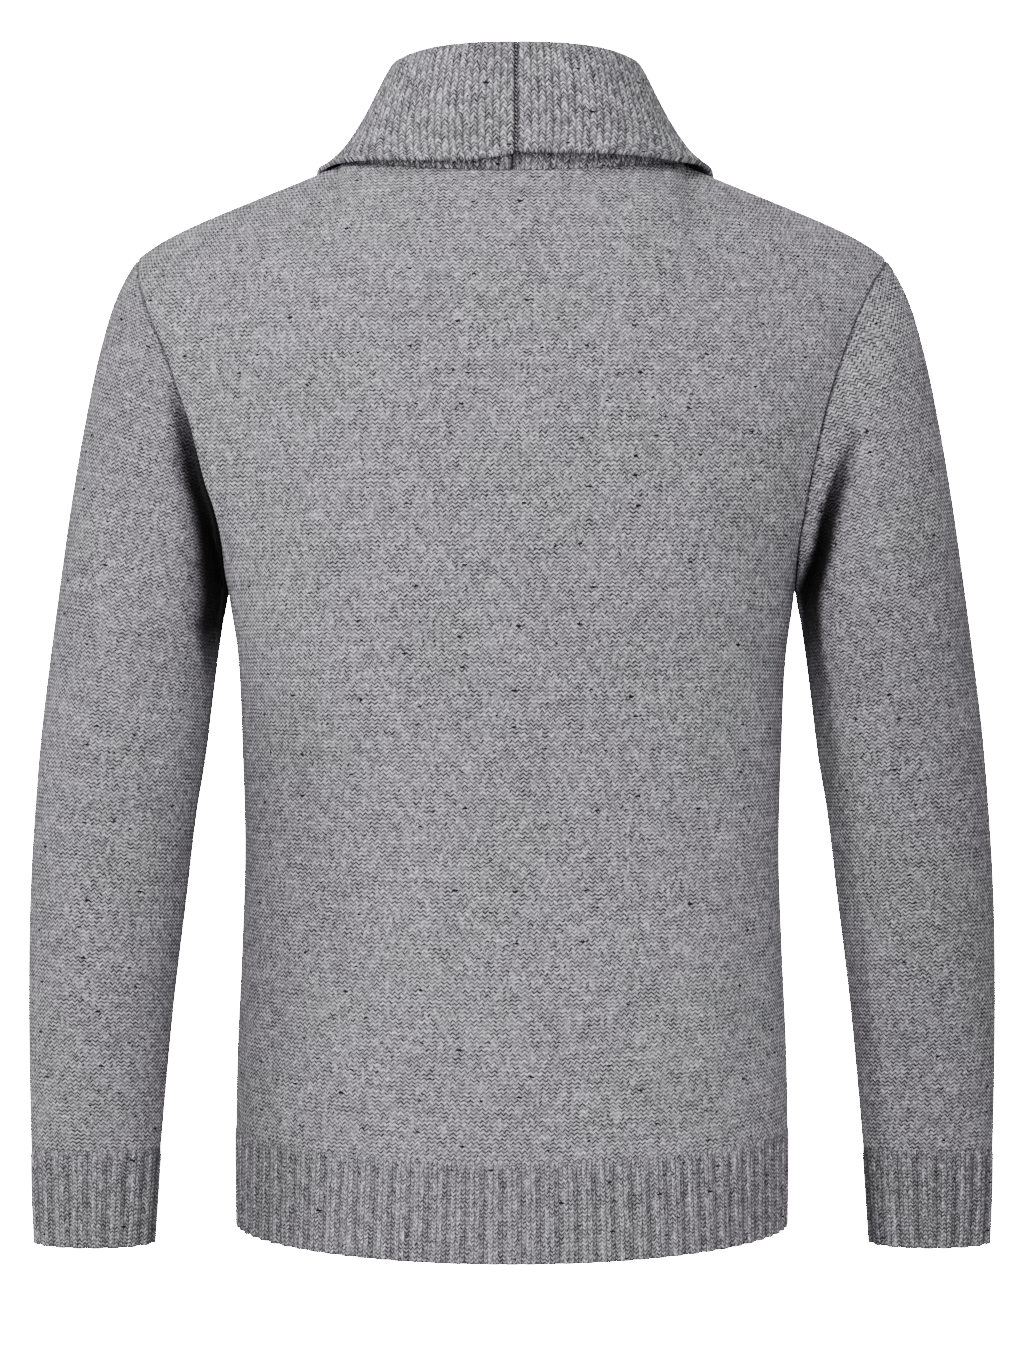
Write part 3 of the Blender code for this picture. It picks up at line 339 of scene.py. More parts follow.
# Soft creases, each along a bowed line seen square on
Crease = namedtuple("Crease", "x z to_x to_z width height bow faces")
BACK_CREASES = table(
    Crease,
    (0.158, -0.275, 0.12, -0.42, 0.018, -0.002, 0.01, 1),
    (-0.16, -0.27, -0.112, -0.4, 0.02, -0.0022, -0.008, 1),
    (0.15, -0.395, 0.05, -0.375, 0.016, 0.0014, 0.006, 1),
    (-0.14, -0.43, -0.03, -0.405, 0.018, 0.0015, -0.005, 1),
    (0.02, -0.4, -0.1, -0.42, 0.014, -0.001, 0.004, 1),
    (0.145, -0.47, 0.138, -0.585, 0.016, -0.0018, 0.004, 1),
    (-0.15, -0.455, -0.14, -0.58, 0.017, -0.002, -0.003, 1),
    (0.06, -0.455, 0.075, -0.57, 0.022, 0.0012, -0.004, 1),
    (-0.07, -0.48, -0.06, -0.58, 0.02, -0.001, 0.003, 1),
    (0.13, -0.06, 0.165, -0.17, 0.02, 0.0016, 0.006, 1),
    (-0.125, -0.07, -0.16, -0.18, 0.02, 0.0014, -0.006, 1),
    (0.09, -0.03, -0.08, -0.034, 0.02, 0.0012, -0.004, 1),
)
FRONT_CREASES = table(
    Crease,
    (0.16, -0.272, 0.105, -0.4, 0.018, -0.0022, 0.009, -1),
    (-0.16, -0.276, -0.1, -0.392, 0.02, -0.002, -0.01, -1),
    (0.145, -0.41, 0.045, -0.385, 0.016, 0.0013, 0.005, -1),
    (-0.14, -0.425, -0.04, -0.44, 0.018, -0.0012, 0.004, -1),
    (0.148, -0.47, 0.135, -0.59, 0.016, -0.0018, 0.005, -1),
    (-0.15, -0.48, -0.13, -0.575, 0.017, -0.0016, -0.004, -1),
    (0.15, -0.07, 0.165, -0.185, 0.02, 0.0016, 0.005, -1),
    (-0.148, -0.06, -0.168, -0.175, 0.022, 0.0015, -0.006, -1),
    (0.08, -0.48, 0.07, -0.59, 0.022, 0.0012, 0.003, -1),
)
SLEEVE_CREASES = table(
    Crease,
    (0.205, -0.345, 0.262, -0.318, 0.013, -0.0026, 0.004, 1),
    (0.21, -0.395, 0.285, -0.372, 0.015, 0.0022, -0.004, 1),
    (0.222, -0.452, 0.275, -0.43, 0.012, -0.0018, 0.003, 1),
    (0.235, -0.24, 0.262, -0.155, 0.017, -0.002, -0.004, 1),
    (0.25, -0.56, 0.285, -0.585, 0.012, 0.0014, 0.003, 1),
    (-0.2, -0.33, -0.268, -0.345, 0.014, -0.0024, -0.004, 1),
    (-0.212, -0.41, -0.28, -0.385, 0.013, -0.0024, 0.005, 1),
    (-0.225, -0.44, -0.29, -0.428, 0.015, 0.002, -0.003, 1),
    (-0.232, -0.225, -0.258, -0.14, 0.018, -0.0018, 0.004, 1),
    (-0.245, -0.545, -0.29, -0.56, 0.013, -0.0015, 0.003, 1),
    (0.203, -0.35, 0.27, -0.365, 0.014, -0.0026, -0.005, -1),
    (0.215, -0.415, 0.28, -0.4, 0.015, 0.0022, 0.004, -1),
    (-0.205, -0.355, -0.265, -0.335, 0.014, -0.0026, 0.004, -1),
    (-0.215, -0.43, -0.285, -0.445, 0.014, -0.002, -0.004, -1),
)
CREASE_FACES = (0.0, 0.6)
CREASE_ENDS = (0.12, 0.76)       # a crease's swell as part of half a wave

# Colours
KNIT_LIGHT = (0.78, 0.75, 0.81, 1.0)
# KNIT_DARK is painted shade in the pits and gaps of the knitting, and the dark strands of the loose yarn
KNIT_DARK = (0.048, 0.047, 0.053, 1.0)
WARM_TINT = (1.025, 0.995, 1.025, 1.0)
COOL_TINT = (0.985, 1.012, 0.985, 1.0)
# SHADOW is painted shade, mixed into the knit's colour by its crease mark
SHADOW = (0.0035, 0.0034, 0.0036, 1.0)
FLECK_DARK = (0.022, 0.022, 0.025, 1.0)
FLECK_WHITE = (0.85, 0.84, 0.84, 1.0)
FLECKS = ((0.036, 0.0015, 2.2, 0.65, 0.0), (0.021, 0.0009, 1.8, 0.45, 3.7),
          (0.052, 0.001, 1.6, 0.5, 8.1))     # cell, radius, stretch, share of cells, shift
HORN_DARK = (0.018, 0.017, 0.018, 1.0)
HORN_LIGHT = (0.06, 0.056, 0.056, 1.0)
FLOOR_PALE = (0.95, 0.95, 0.95, 1.0)
WHITE = (1.0, 1.0, 1.0, 1.0)

# Stage
FLOOR_RADIUS, FLOOR_Z = 4.0, -1.45
AROUND = 0.27            # strength of the light all round, and of the white behind
BACKDROP = 80.0
MIDDLE = (0.0, 0.0, -0.3)
LAMPS = (
    ("key", (1.0, 2.2, 1.9), 46.0, 1.5),
    ("fill", (0.8, 3.3, 0.7), 17.0, 1.0),
    ("side_left", (2.2, 1.4, 0.1), 5.0, 1.2),
    ("front", (-0.8, -3.0, 1.4), 24.0, 2.0),
)
SENSOR = 36.0
CAMERA_AWAY, CAMERA_Z = 3.0, -0.3197
VIEW_HEIGHT = 0.86       # height of what the camera shows, at the garment


# ---- curves

def unit(vectors):
    """Vectors of length one."""
    return vectors / np.maximum(np.linalg.norm(vectors, axis=-1, keepdims=True), 1e-12)


def ease(x, low, high):
    """0 below low, 1 above high, smooth between."""
    t = np.clip((np.asarray(x, float) - low) / (high - low), 0.0, 1.0)
    return t * t * (3.0 - 2.0 * t)


def hermite(t, start, leave, end, arrive, span=1.0):
    """A smooth way from start to end that leaves and arrives along given directions."""
    first = (1 + 2 * t) * (1 - t) ** 2 * start + t * (1 - t) ** 2 * span * leave
    return first + (t * t * (3 - 2 * t) * end + t * t * (t - 1) * span * arrive)


def spline(knots, rows, at):
    """Rows of a table read between its knots along a smooth curve."""
    knots = np.asarray(knots, float)
    rows = np.asarray(rows, float)
    at = np.atleast_1d(np.asarray(at, float))
    slope = np.gradient(rows, knots, axis=0)
    k = np.clip(np.searchsorted(knots, at, side="right") - 1, 0, len(knots) - 2)
    span = (knots[k + 1] - knots[k])[:, None]
    return hermite((at - knots[k])[:, None] / span, rows[k], slope[k], rows[k + 1], slope[k + 1], span)


def bezier(points, steps=65):
    """A cubic curve through its first and last point."""
    a, b, c, d = (np.asarray(p, float) for p in points)
    t = np.linspace(0.0, 1.0, steps)[:, None]
    s = 1.0 - t
    return s ** 3 * a + 3 * s * s * t * b + 3 * s * t * t * c + t ** 3 * d


def lengths(grid, axis):
    """Distance along the lines of a grid at each of its points."""
    step = np.linalg.norm(np.diff(grid, axis=axis), axis=-1)
    return np.insert(np.cumsum(step, axis=axis), 0, 0.0, axis=axis)


def run_of(line):
    """Distance along a line at each of its points."""
    return lengths(np.asarray(line, float)[:, :3], 0)


def read(at, known, line):
    """Columns of a line that are known at some places, read at other places."""
    return np.stack([np.interp(at, known, column) for column in line.T], axis=1)


def along(line, parts):
    """Points of a line at parts of its length, or the same of what else lies along it."""
    line = np.asarray(line, float)
    run = run_of(line)
    return read(np.asarray(parts, float) * run[-1], run, line)


def read_down(rows, z):
    """Columns of a table that goes down, each read at given heights."""
    rows = np.array(rows)[::-1]
    return [np.interp(z, rows[:, 0], column) for column in rows.T[1:]]


def places(count, length, low=True, high=True):
    """Even places from 0 to 1, and closer ones beside each end that is sewn."""
    close = np.array(SEAM_PLACES) / length
    at = [np.linspace(0.0, 1.0, count + 1)]
    if low:
        at.append(close)
    if high:
        at.append(1.0 - close)
    at = np.sort(np.concatenate(at))
    keep = np.concatenate(([True], np.diff(at) > CLOSEST / length))
    keep[-1] = True
    return at[keep]


def normals(grid, wrap=False):
    """Normals of a grid: of its rows' way crossed with its columns' way."""
    if wrap:
        ring = np.concatenate((grid[:, -2:-1], grid, grid[:, 1:2]), axis=1)
        across = ring[:, 2:] - ring[:, :-2]
    else:
        across = np.gradient(grid, axis=1)
    return unit(np.cross(np.gradient(grid, axis=0), across))


def mirrored(points, side):
    """Points of the left half, moved to the right half for side -1."""
    moved = np.array(points, float)
    moved[..., 0] *= side
    return moved


def doubled(left):
    """A grid of the left half, joined to its mirror image along the centre line."""
    return np.concatenate((mirrored(left[:, :0:-1], -1), left), axis=1)


# ---- body surface

def knots_of(rows, low, high):
    """Distance from row to row of a table, halfway between two of its lines of points."""
    rows = np.array(rows, float)
    return lengths(rows[:, low], 0) / 2 + lengths(rows[:, high], 0) / 2


BODY_KNOTS = knots_of(BACK, (1, 2, 0), (3, 4))
SLEEVE_KNOTS = knots_of(SLEEVE, (0, 1), (2, 3))
YOKE_PARTS = places(*YOKE_ROWS, low=False)[1:]


def panel_rows():
    """Distances of a panel's rows from the top of the hem rib to the foot of the yoke."""
    low, high = BODY_KNOTS[RIB_TOP_ROW], BODY_KNOTS[-1]
    corner = BODY_KNOTS[UNDERARM_ROW]
    torso = low + (corner - low) * places(round((corner - low) / GRAIN), corner - low, high=False)
    chest = np.linspace(corner, high, round((high - corner) / CHEST_GRAIN) + 1)
    return np.concatenate((torso, chest[1:])), len(torso) - 1


PANEL_ROWS, UNDERARM = panel_rows()


def body_rows(rows, at):
    """Rows of a body table; what lies at the side turns a corner at the underarm."""
    corner = UNDERARM_ROW
    sides = np.array(rows, float)[:, :3]
    low = spline(BODY_KNOTS[:corner + 1], sides[:corner + 1], at)
    high = spline(BODY_KNOTS[corner:], sides[corner:], at)
    rows = spline(BODY_KNOTS, rows, at)
    rows[:, :3] = np.where((np.asarray(at) > BODY_KNOTS[corner])[:, None], high, low)
    return rows


def section(row):
    """One section of the body, from the centre line round to the side."""
    row = Row(*row)
    mid = np.array((0.0, row.mid_y, row.mid_z))
    side = np.array((row.side_x, row.side_y, row.side_z))
    turn = math.radians(row.turn)
    away = np.array((math.cos(turn), -math.copysign(math.sin(turn), row.mid_y), 0.0))
    toward_mid = np.array((MID_FULL * row.side_x, 0.0, 0.0))
    toward_side = row.full * np.linalg.norm(side - mid) * away
    toward_side[2] = SIDE_TILT * (row.side_z - row.mid_z)
    return bezier((mid, mid + toward_mid, side - toward_side, side), SECTION_STEPS)


def front_part(row):
    """A section of a front, from its band, or higher up from the neckline, to the side."""
    line = section(row)
    up = np.clip((Row(*row).mid_z - V_POINT_Z) / (SHOULDER_Z - V_POINT_Z), 0.0, 1.0)
    edge = BAND_WIDTH / 2 + (NECK_HALF - BAND_WIDTH / 2) * up
    start = np.array([np.interp(edge, line[:, 0], column) for column in line.T])
    return np.vstack((start, line[line[:, 0] > edge + 1e-5]))


def shoulder_seam(x):
    """The seam along the top of the shoulder, from the neck to its tip."""
    part = (x - NECK_HALF) / (SHOULDER_TIP_X - NECK_HALF)
    y = SHOULDER_Y + (SHOULDER_TIP_Y - SHOULDER_Y) * part
    z = SHOULDER_Z - SHOULDER_SLOPE * (x - NECK_HALF)
    return np.stack((x, y, z - SHOULDER_TIP_DROP * part ** SHOULDER_TIP_CURVE), axis=-1)


def back_neck(part):
    """The back neckline, from the centre back to the shoulder."""
    angle = part * math.pi / 2
    y = SHOULDER_Y + (NECK_BACK_Y - SHOULDER_Y) * np.cos(angle)
    z = NECK_BACK_Z + (SHOULDER_Z - NECK_BACK_Z) * np.sin(angle) ** 2
    return np.stack((NECK_HALF * np.sin(angle), y, z), axis=-1)


def panel(rows, cut, columns, top, arrive):
    """A panel from the rib up: its sections, then a yoke that carries them up to the top."""
    grid = [along(cut(row), columns) for row in body_rows(rows, PANEL_ROWS)]
    start = np.interp(len(rows) - YOKE_FROM, range(len(rows)), BODY_KNOTS)
    foot, below = grid[-1], along(cut(body_rows(rows, [start])[0]), columns)
    lift = np.linalg.norm(top - foot, axis=1, keepdims=True)
    leave, arrive = unit(foot - below) * lift, unit(arrive) * lift
    return np.array(grid + [hermite(t, foot, leave, top, arrive) for t in YOKE_PARTS])


def back_grid(columns):
    """The left half of the back, as rows of points from the rib up."""
    neck = back_neck(np.clip(columns / NECK_SHARE, 0.0, 1.0))
    beyond = np.clip((columns - NECK_SHARE) / (1.0 - NECK_SHARE), 0.0, 1.0)
    tips = shoulder_seam(NECK_HALF + (SHOULDER_TIP_X - NECK_HALF) * beyond)
    top = np.where((columns > NECK_SHARE)[:, None], tips, neck)
    out = np.clip(top[:, 0] / NECK_HALF, 0.0, 1.0)[:, None] ** 2
    arrive = (1 - out) * np.array(ARRIVES_AT_NECK) + out * np.array(ARRIVES_AT_SHOULDER)
    return panel(BACK, section, columns, top, arrive)


def front_grid(columns):
    """The left front, before it is lapped over the right one."""
    top = shoulder_seam(NECK_HALF + (SHOULDER_TIP_X - NECK_HALF) * columns)
    near = np.clip(1.0 - columns / FRONT_NECK_SHARE, 0.0, 1.0)[:, None]
    arrive = near * np.array(FRONT_ARRIVES_AT_NECK) + (1 - near) * np.array(FRONT_ARRIVES)
    return panel(FRONT, front_part, columns, top, arrive)


def lap(points, side):
    """Move the left front and its band out, over the right ones."""
    moved = np.array(points, float)
    if side > 0:
        by_x = 1.0 - ease(moved[..., 0], *LAP_FADES_X)
        by_z = 1.0 - ease(moved[..., 2], *LAP_FADES_Z)
        moved[..., 1] -= OVERLAP * by_x * by_z
    return moved


# ---- sleeves

def ends_of(ring):
    """The outermost and the innermost point of a ring."""
    return [np.array((x, ring.mid_y, z)) for x, z in ((ring.out_x, ring.out_z), (ring.in_x, ring.in_z))]


def ring_points(ring, turns):
    """A ring of the left sleeve: turn 0 is outermost, a quarter turn is at the back."""
    ring = Ring(*ring)
    out, inner = ends_of(ring)
    middle = (out + inner) / 2
    depth = np.array((0.0, ring.depth, -ring.hang))
    return middle + (out - middle) * np.cos(turns)[:, None] + depth * np.sin(turns)[:, None]


def turns_of(points, ring):
    """The turn at which each point lies on a ring."""
    out, inner = ends_of(ring)
    half = (out - inner) / 2
    local = points - (out + inner) / 2
    cosine = local @ half / (half @ half)
    return np.unwrap(np.arctan2(local[:, 1] / ring.depth, cosine))


def sleeve_grid(armhole, at):
    """The left sleeve, ring by ring from the armhole down; its last column is its first."""
    fitted = turns_of(armhole, SLEEVE[0])
    even = np.linspace(0.0, 2 * math.pi, len(armhole), endpoint=False)
    rest = armhole - ring_points(SLEEVE[0], fitted)
    blend_at = SLEEVE_KNOTS[:len(ARMHOLE_BLEND) + 1]
    grid = []
    for distance, ring in zip(at, spline(SLEEVE_KNOTS, SLEEVE, at)):
        keep = 1.0 - min(np.interp(distance, SLEEVE_KNOTS, range(len(SLEEVE))) / EVEN_RING, 1.0)
        turns = keep * fitted + (1.0 - keep) * even
        points = ring_points(ring, turns)
        points += np.interp(distance, blend_at, (*ARMHOLE_BLEND, 0.0)) * rest
        middle = ring_points(ring, np.array((0.0, math.pi))).mean(axis=0)
        near = np.abs(np.sin(turns)) * ease(-np.cos(turns), *CREASE_GROWS)
        points -= unit(points - middle) * (max(Ring(*ring).crease, 0.0) * near)[:, None]
        grid.append(np.vstack((points, points[:1])))
    return np.array(grid)


# ---- collar

def collar_guides(part, side):
    """Fold, edge, way outwards, roll and flare of the collar at parts of the neckline."""
    knots = [station.part for station in COLLAR]
    at = Station(*spline(knots, COLLAR, part).T)
    low = Station(*spline(knots, COLLAR, np.interp(part, *EDGE_READ[side])).T)
    fold = lap(np.stack((at.fold_x, at.fold_y, at.fold_z), axis=1), side)
    edge_z = low.edge_z if side > 0 else low.edge_z_right
    edge = lap(np.stack((low.edge_x, low.edge_y, edge_z), axis=1), side)
    if side < 0:
        fold[:, 1] += TUCK * ease(part, *TUCK_FADES[:2]) * (1.0 - ease(part, *TUCK_FADES[2:]))
    hang = side * COLLAR_HANG * (1.0 - ease(part, *COLLAR_HANG_FADES))
    fold[:, 0] += hang
    edge[:, 0] += hang
    angle = np.radians(at.out)
    way = np.stack((np.cos(angle), np.sin(angle), np.zeros(len(angle))), axis=1)
    grown = 1.0 - ease(part, *FOLD_FADES[side])
    edge = fold + (edge - fold) * grown[:, None]
    return fold, edge, way, at.roll * grown, at.flare


def collar_line(start, rise, fold, edge, way, roll, flare):
    """One section of the collar: up the stand, over the fold and down the fall."""
    stand = np.linalg.norm(fold - start)
    drop = edge - fold
    fall = np.linalg.norm(drop)
    end = drop / max(fall, 1e-6) + flare * way
    end /= max(np.linalg.norm(end), 1e-6)
    inside = bezier((start, start + COLLAR_FULL * stand * rise, fold - roll * way, fold))
    outside = bezier((fold, fold + roll * way, edge - COLLAR_FULL * fall * end, edge))
    return inside, outside


# ---- shells

def placed(name, data):
    """An object of some data, in the scene."""
    piece = bpy.data.objects.new(name, data)
    bpy.context.scene.collection.objects.link(piece)
    return piece


def shell(name, face, out, cloth, thickness, wrap=False, **marks):
    """A thin shell: a flat grid moved on to its place, welded where it closes, then thickened.

    Each mark is a value at every point that the finish reads: how much painted shade is
    mixed into its colour ("crease"), in the underarm folds, at seams, beside the sleeves and
    down the sleeves and cuffs, or how clear its ribs are ("ribbed")."""
    rows, columns = face.shape[:2]
    mesh = bmesh.new()
    bmesh.ops.create_grid(mesh, x_segments=columns - 1, y_segments=rows - 1, size=1.0)
    data = bpy.data.meshes.new(name)
    mesh.to_mesh(data)
    data.vertices.foreach_set("co", np.ascontiguousarray(face, float).ravel())
    corner = np.empty(len(data.loops), np.int32)
    data.loops.foreach_get("vertex_index", corner)
    layer = data.uv_layers.new(name="cloth")
    layer.uv.foreach_set("vector", cloth.reshape(-1, 2)[corner].astype(float).ravel())
    for label, values in marks.items():
        mark = data.attributes.new(label, "FLOAT", "POINT")
        mark.data.foreach_set("value", np.ascontiguousarray(values, np.float32).ravel())
    mesh.free()
    mesh = bmesh.new()
    mesh.from_mesh(data)
    if np.sum(normals(face) * out) > 0.0:
        bmesh.ops.reverse_faces(mesh, faces=mesh.faces)
    if wrap:
        bmesh.ops.remove_doubles(mesh, verts=mesh.verts, dist=1e-6)
    mesh.to_mesh(data)
    mesh.free()
    data.shade_smooth()
    piece = placed(name, data)
    wall = piece.modifiers.new("wall", "SOLIDIFY")
    wall.thickness = thickness
    wall.offset = -1.0
    return piece


def dip(distance):
    """How far cloth has turned in at a distance from its seam."""
    return SEAM_DIP * (1.0 - ease(distance, 0.0, SEAM_TURN)) ** 2


def in_seam(sunk):
    """How much shade is painted on the cloth where it turns in at a seam."""
    return SEAM_DARK * np.clip(sunk / SEAM_DIP, 0.0, 1.0) ** 1.5


def apart(cloth, piece):
    """Cloth places moved away from those of the other pieces, so that no fleck repeats."""
    moved = np.array(cloth, float)
    moved[..., 0] += piece * CLOTH_STEP
    return moved


class Half:
    """The left half of the body, or the right half in a mirror, with its shared seams."""

    def __init__(self, side):
        self.side = side
        self.back_at = places(*BACK_COLUMNS, low=False)
        self.back = back_grid(self.back_at)
        self.front = lap(front_grid(places(*FRONT_COLUMNS)), side)
        self.back_out = normals(self.back)
        self.front_out = -normals(self.front)
        self.armhole = np.vstack((self.back[UNDERARM:, -1][::-1], self.front[UNDERARM + 1:-1, -1]))
        self.underarm = int(np.argmin(self.armhole[:, 2]))
        length = SLEEVE_KNOTS[-1]
        self.sleeve = sleeve_grid(self.armhole, places(round(length / SLEEVE_GRAIN), length) * length)
        self.sleeve_out = normals(self.sleeve, wrap=True)
        self.find_neck()

    def find_neck(self):
        """The neckline from the centre back to the V point, with the panels' normals."""
        neck = self.back_at <= NECK_SHARE + 1e-9
        self.v_point = int(np.argmin(np.abs(self.front[:, 0, 2] - V_POINT_Z)))
        line, out = (np.vstack((back[-1, neck][:-1], front[self.v_point:, 0][::-1]))
                     for back, front in ((self.back, self.front), (self.back_out, self.front_out)))
        part = run_of(line) / run_of(line)[-1]
        fold, _, way, _, _ = collar_guides(part, self.side)
        lift = (STAND_LIFT * (1.0 - part))[:, None] * np.array((0.0, 0.0, 1.0))
        rise = unit(unit(fold - line) + lift)
        stand = unit(np.cross(unit(np.gradient(line, axis=0)), rise))
        stand *= np.sign(np.sum(stand * way, axis=1, keepdims=True))
        total = out + stand
        lean = np.clip(np.linalg.norm(total, axis=1, keepdims=True) / 2, 1.0 / MITRE_MOST, 1.0)
        self.neck_step = unit(total) * WALL / lean
        self.neck, self.neck_out, self.rise = line, out, rise


def panel_cloth(half, grid, across_from=0.0):
    """Where each point lies on the cloth: across from the centre line, and up the courses,
    which follow the rows at the foot and the heights up the back's centre line above."""
    heights, run = half.back[:, 0, 2], run_of(half.back[:, 0])
    row_z = heights[:, None]
    level = ease(row_z, *LEVEL_COURSES)
    v = np.interp((1 - level) * row_z + level * grid[..., 2], heights, run)
    beyond = np.maximum(grid[..., 2] - heights[-1], 0.0)
    return np.stack((lengths(grid, 1) + across_from, v + beyond), axis=-1)


def from_edges(grid, *sewn):
    """How far each point is sunk, by its distance from the edges of its grid that are sewn:
    of the first row, the last row, the first column and the last column."""
    down, across = lengths(grid, 0), lengths(grid, 1)
    edges = (down, down[-1:] - down, across, across[:, -1:] - across)
    return np.max([dip(distance) for distance, used in zip(edges, sewn) if used], axis=0)


def side_shade(grid, side):
    """How much shade is painted on the body beside its side seam, where the sleeve hangs over it."""
    near = 1.0 - ease(lengths(grid[:, ::-1], 1)[:, ::-1], *SIDE_SHADE_REACH)
    return SIDE_SHADE[side] * near * ease(-grid[..., 2], *SIDE_SHADE_DOWN)


def back_panel(half):
    """The back, from the hem rib to the shoulders."""
    sunk = from_edges(half.back, False, True, False, True)
    face, out, cloth = (doubled(grid) for grid in (
        half.back - half.back_out * sunk[..., None], half.back_out, panel_cloth(half, half.back)))
    face = settled(creased(face, out, BACK_CREASES), half)
    # painted shade at the seams and beside the side seams
    right, left = (np.maximum(in_seam(sunk), side_shade(half.back, side)) for side in (-1, 1))
    dark = np.concatenate((right[:, :0:-1], left), axis=1)
    return shell("back_knit", face, out, cloth, WALL, crease=dark)


def front_panel(half, name):
    """A front, from the hem rib to the shoulder."""
    grid = half.front
    sunk = from_edges(grid, False, True, True, True)
    face = mirrored(grid - half.front_out * sunk[..., None], half.side)
    out = mirrored(half.front_out, half.side)
    face = creased(face, out, FRONT_CREASES)
    cloth = apart(panel_cloth(half, grid, FRONT_FROM), 2 + half.side)
    # painted shade at the seams and beside the side seam
    dark = np.maximum(in_seam(sunk), side_shade(grid, half.side))
    return shell(name, face, out, cloth, WALL, crease=dark)


def sleeve_panel(half, name):
    """A sleeve, sewn in at the armhole and folded in beside the underarm."""
    under, count = half.underarm, len(half.armhole)
    turned = np.concatenate((np.arange(under, count), np.arange(under + 1)))
    grid, out = half.sleeve[:, turned], half.sleeve_out[:, turned]
    sunk = from_edges(grid, True, False, True, True)
    pushed, dark = armpit(half, grid)
    inward = unit(grid[0] - grid[3])
    grid = np.concatenate(((grid[0] + inward * SEAM_ALLOWANCE)[None], grid))
    out, sunk, pushed, dark = (np.concatenate((kept[:1], kept)) for kept in (out, sunk, pushed, dark))
    sunk[0] += SEAM_UNDER
    face = grid - out * sunk[..., None]
    face[..., 1] += pushed
    face, out = mirrored(face, half.side), mirrored(out, half.side)
    face = settled(creased(face, out, SLEEVE_CREASES), half)
    v = down_sleeve(grid)
    cloth = apart(np.stack((around_sleeve(grid, v, count - under), -v), axis=-1), 5 + half.side)
    # painted shade in the underarm folds, down the sleeve and at the seams
    return shell(name, face, out, cloth, WALL, wrap=True, crease=np.maximum(dark, in_seam(sunk)))


def down_sleeve(grid):
    """How far down the sleeve's own middle each point lies, square to that middle."""
    drop = np.linspace(*GRAIN_SPAN, GRAIN_STEPS)
    lean = np.radians(np.interp(drop, GRAIN_DROPS, GRAIN_LEANS))
    side = np.cumsum(np.tan(lean)) * (drop[1] - drop[0])
    middle = np.stack((side + (GRAIN_ENDS_X - side[-1]), -drop), axis=1)
    way = np.stack((np.sin(lean), -np.cos(lean)), axis=1)
    run = lengths(middle, 0)
    ahead = grid[..., (0, 2)] @ way.T - np.sum(middle * way, axis=1)
    last = np.clip(np.sum(ahead > 0.0, axis=-1) - 1, 0, len(run) - 2)
    here, after = (np.take_along_axis(ahead, last[..., None] + k, axis=-1)[..., 0] for k in (0, 1))
    return run[last] + here / (here - after) * (run[last + 1] - run[last])


def around_sleeve(grid, v, start):
    """How far round the sleeve each point lies from a starting column, along its own course."""
    levels = np.linspace(v.min(), v.max(), SLEEVE_LEVELS)
    columns = range(grid.shape[1])
    run = lengths(np.stack([read(levels, v[:, j], grid[:, j]) for j in columns], axis=1), 1)
    run -= run[:, start, None]
    return np.stack([np.interp(v[:, j], levels, run[:, j]) for j in columns], axis=1)


def armpit(half, grid):
    """How far a sleeve is pushed in beside its underarm, and how much shade is painted on it there and
    down the sleeve.
    """
    under, side, z = half.underarm, half.side, grid[..., 2]
    inner = grid[np.arange(len(grid)), np.argmin(grid[:, :-1, 0], axis=1)]
    below = inner[inner[:, 2] < half.armhole[under, 2] - BELOW_UNDERARM]
    back, front = grid[:, :-1, 1].max(axis=1), grid[:, :-1, 1].min(axis=1)
    turned = (grid[..., 1] - ((back + front) / 2)[:, None]) / ((back - front) / 2)[:, None]
    pushed = np.zeros(grid.shape[:2])
    # painted shade down the sleeve, from these heights down
    dark = SLEEVE_SHADE[side] * ease(-z, *SLEEVE_SHADE_FROM[side])
    for way, folds in ((1, ARMPIT_BACK[side]), (-1, ARMPIT_FRONT)):
        seam = half.armhole[:under + 1] if way > 0 else half.armhole[under:][::-1]
        edge = np.vstack((seam, below))[::-1]
        deepest, toward, away, deep, shade = read_down(folds, z)
        off = grid[..., 0] - np.interp(z, edge[:, 2], edge[:, 0]) - deepest
        part = np.where(off < 0.0, -off / toward, off / away)
        pushed -= way * deep * (1.0 - ease(part, 0.0, 1.0)) * ease(way * turned, *FOLD_FACES)
        # painted shade along each fold
        toward_seam = 0.0 if way < 0 or side > 0 else part
        shadow = 1.0 - ease(np.where(off < 0.0, toward_seam, part * ARMPIT_SHADOW_REACH), *SHADOW_FADES)
        dark = np.maximum(dark, shade * shadow * ease(way * turned, *SHADOW_FACES))
    return pushed, dark


def settled(face, half):
    """A face moved along beside the armhole at the back: the seams hang a little to the left."""
    seam = half.armhole[:half.underarm + 1][::-1]
    off = np.abs(face[..., 0]) - np.interp(face[..., 2], seam[:, 2], seam[:, 0])
    near = (1.0 - ease(np.abs(off), 0.0, HANG_REACH)) * ease(face[..., 1], *HANG_FACES)
    across, outward = read_down(ARMHOLE_HANG, face[..., 2])
    moved = np.array(face, float)
    moved[..., 0] += (across + outward * np.sign(face[..., 0])) * near
    return moved


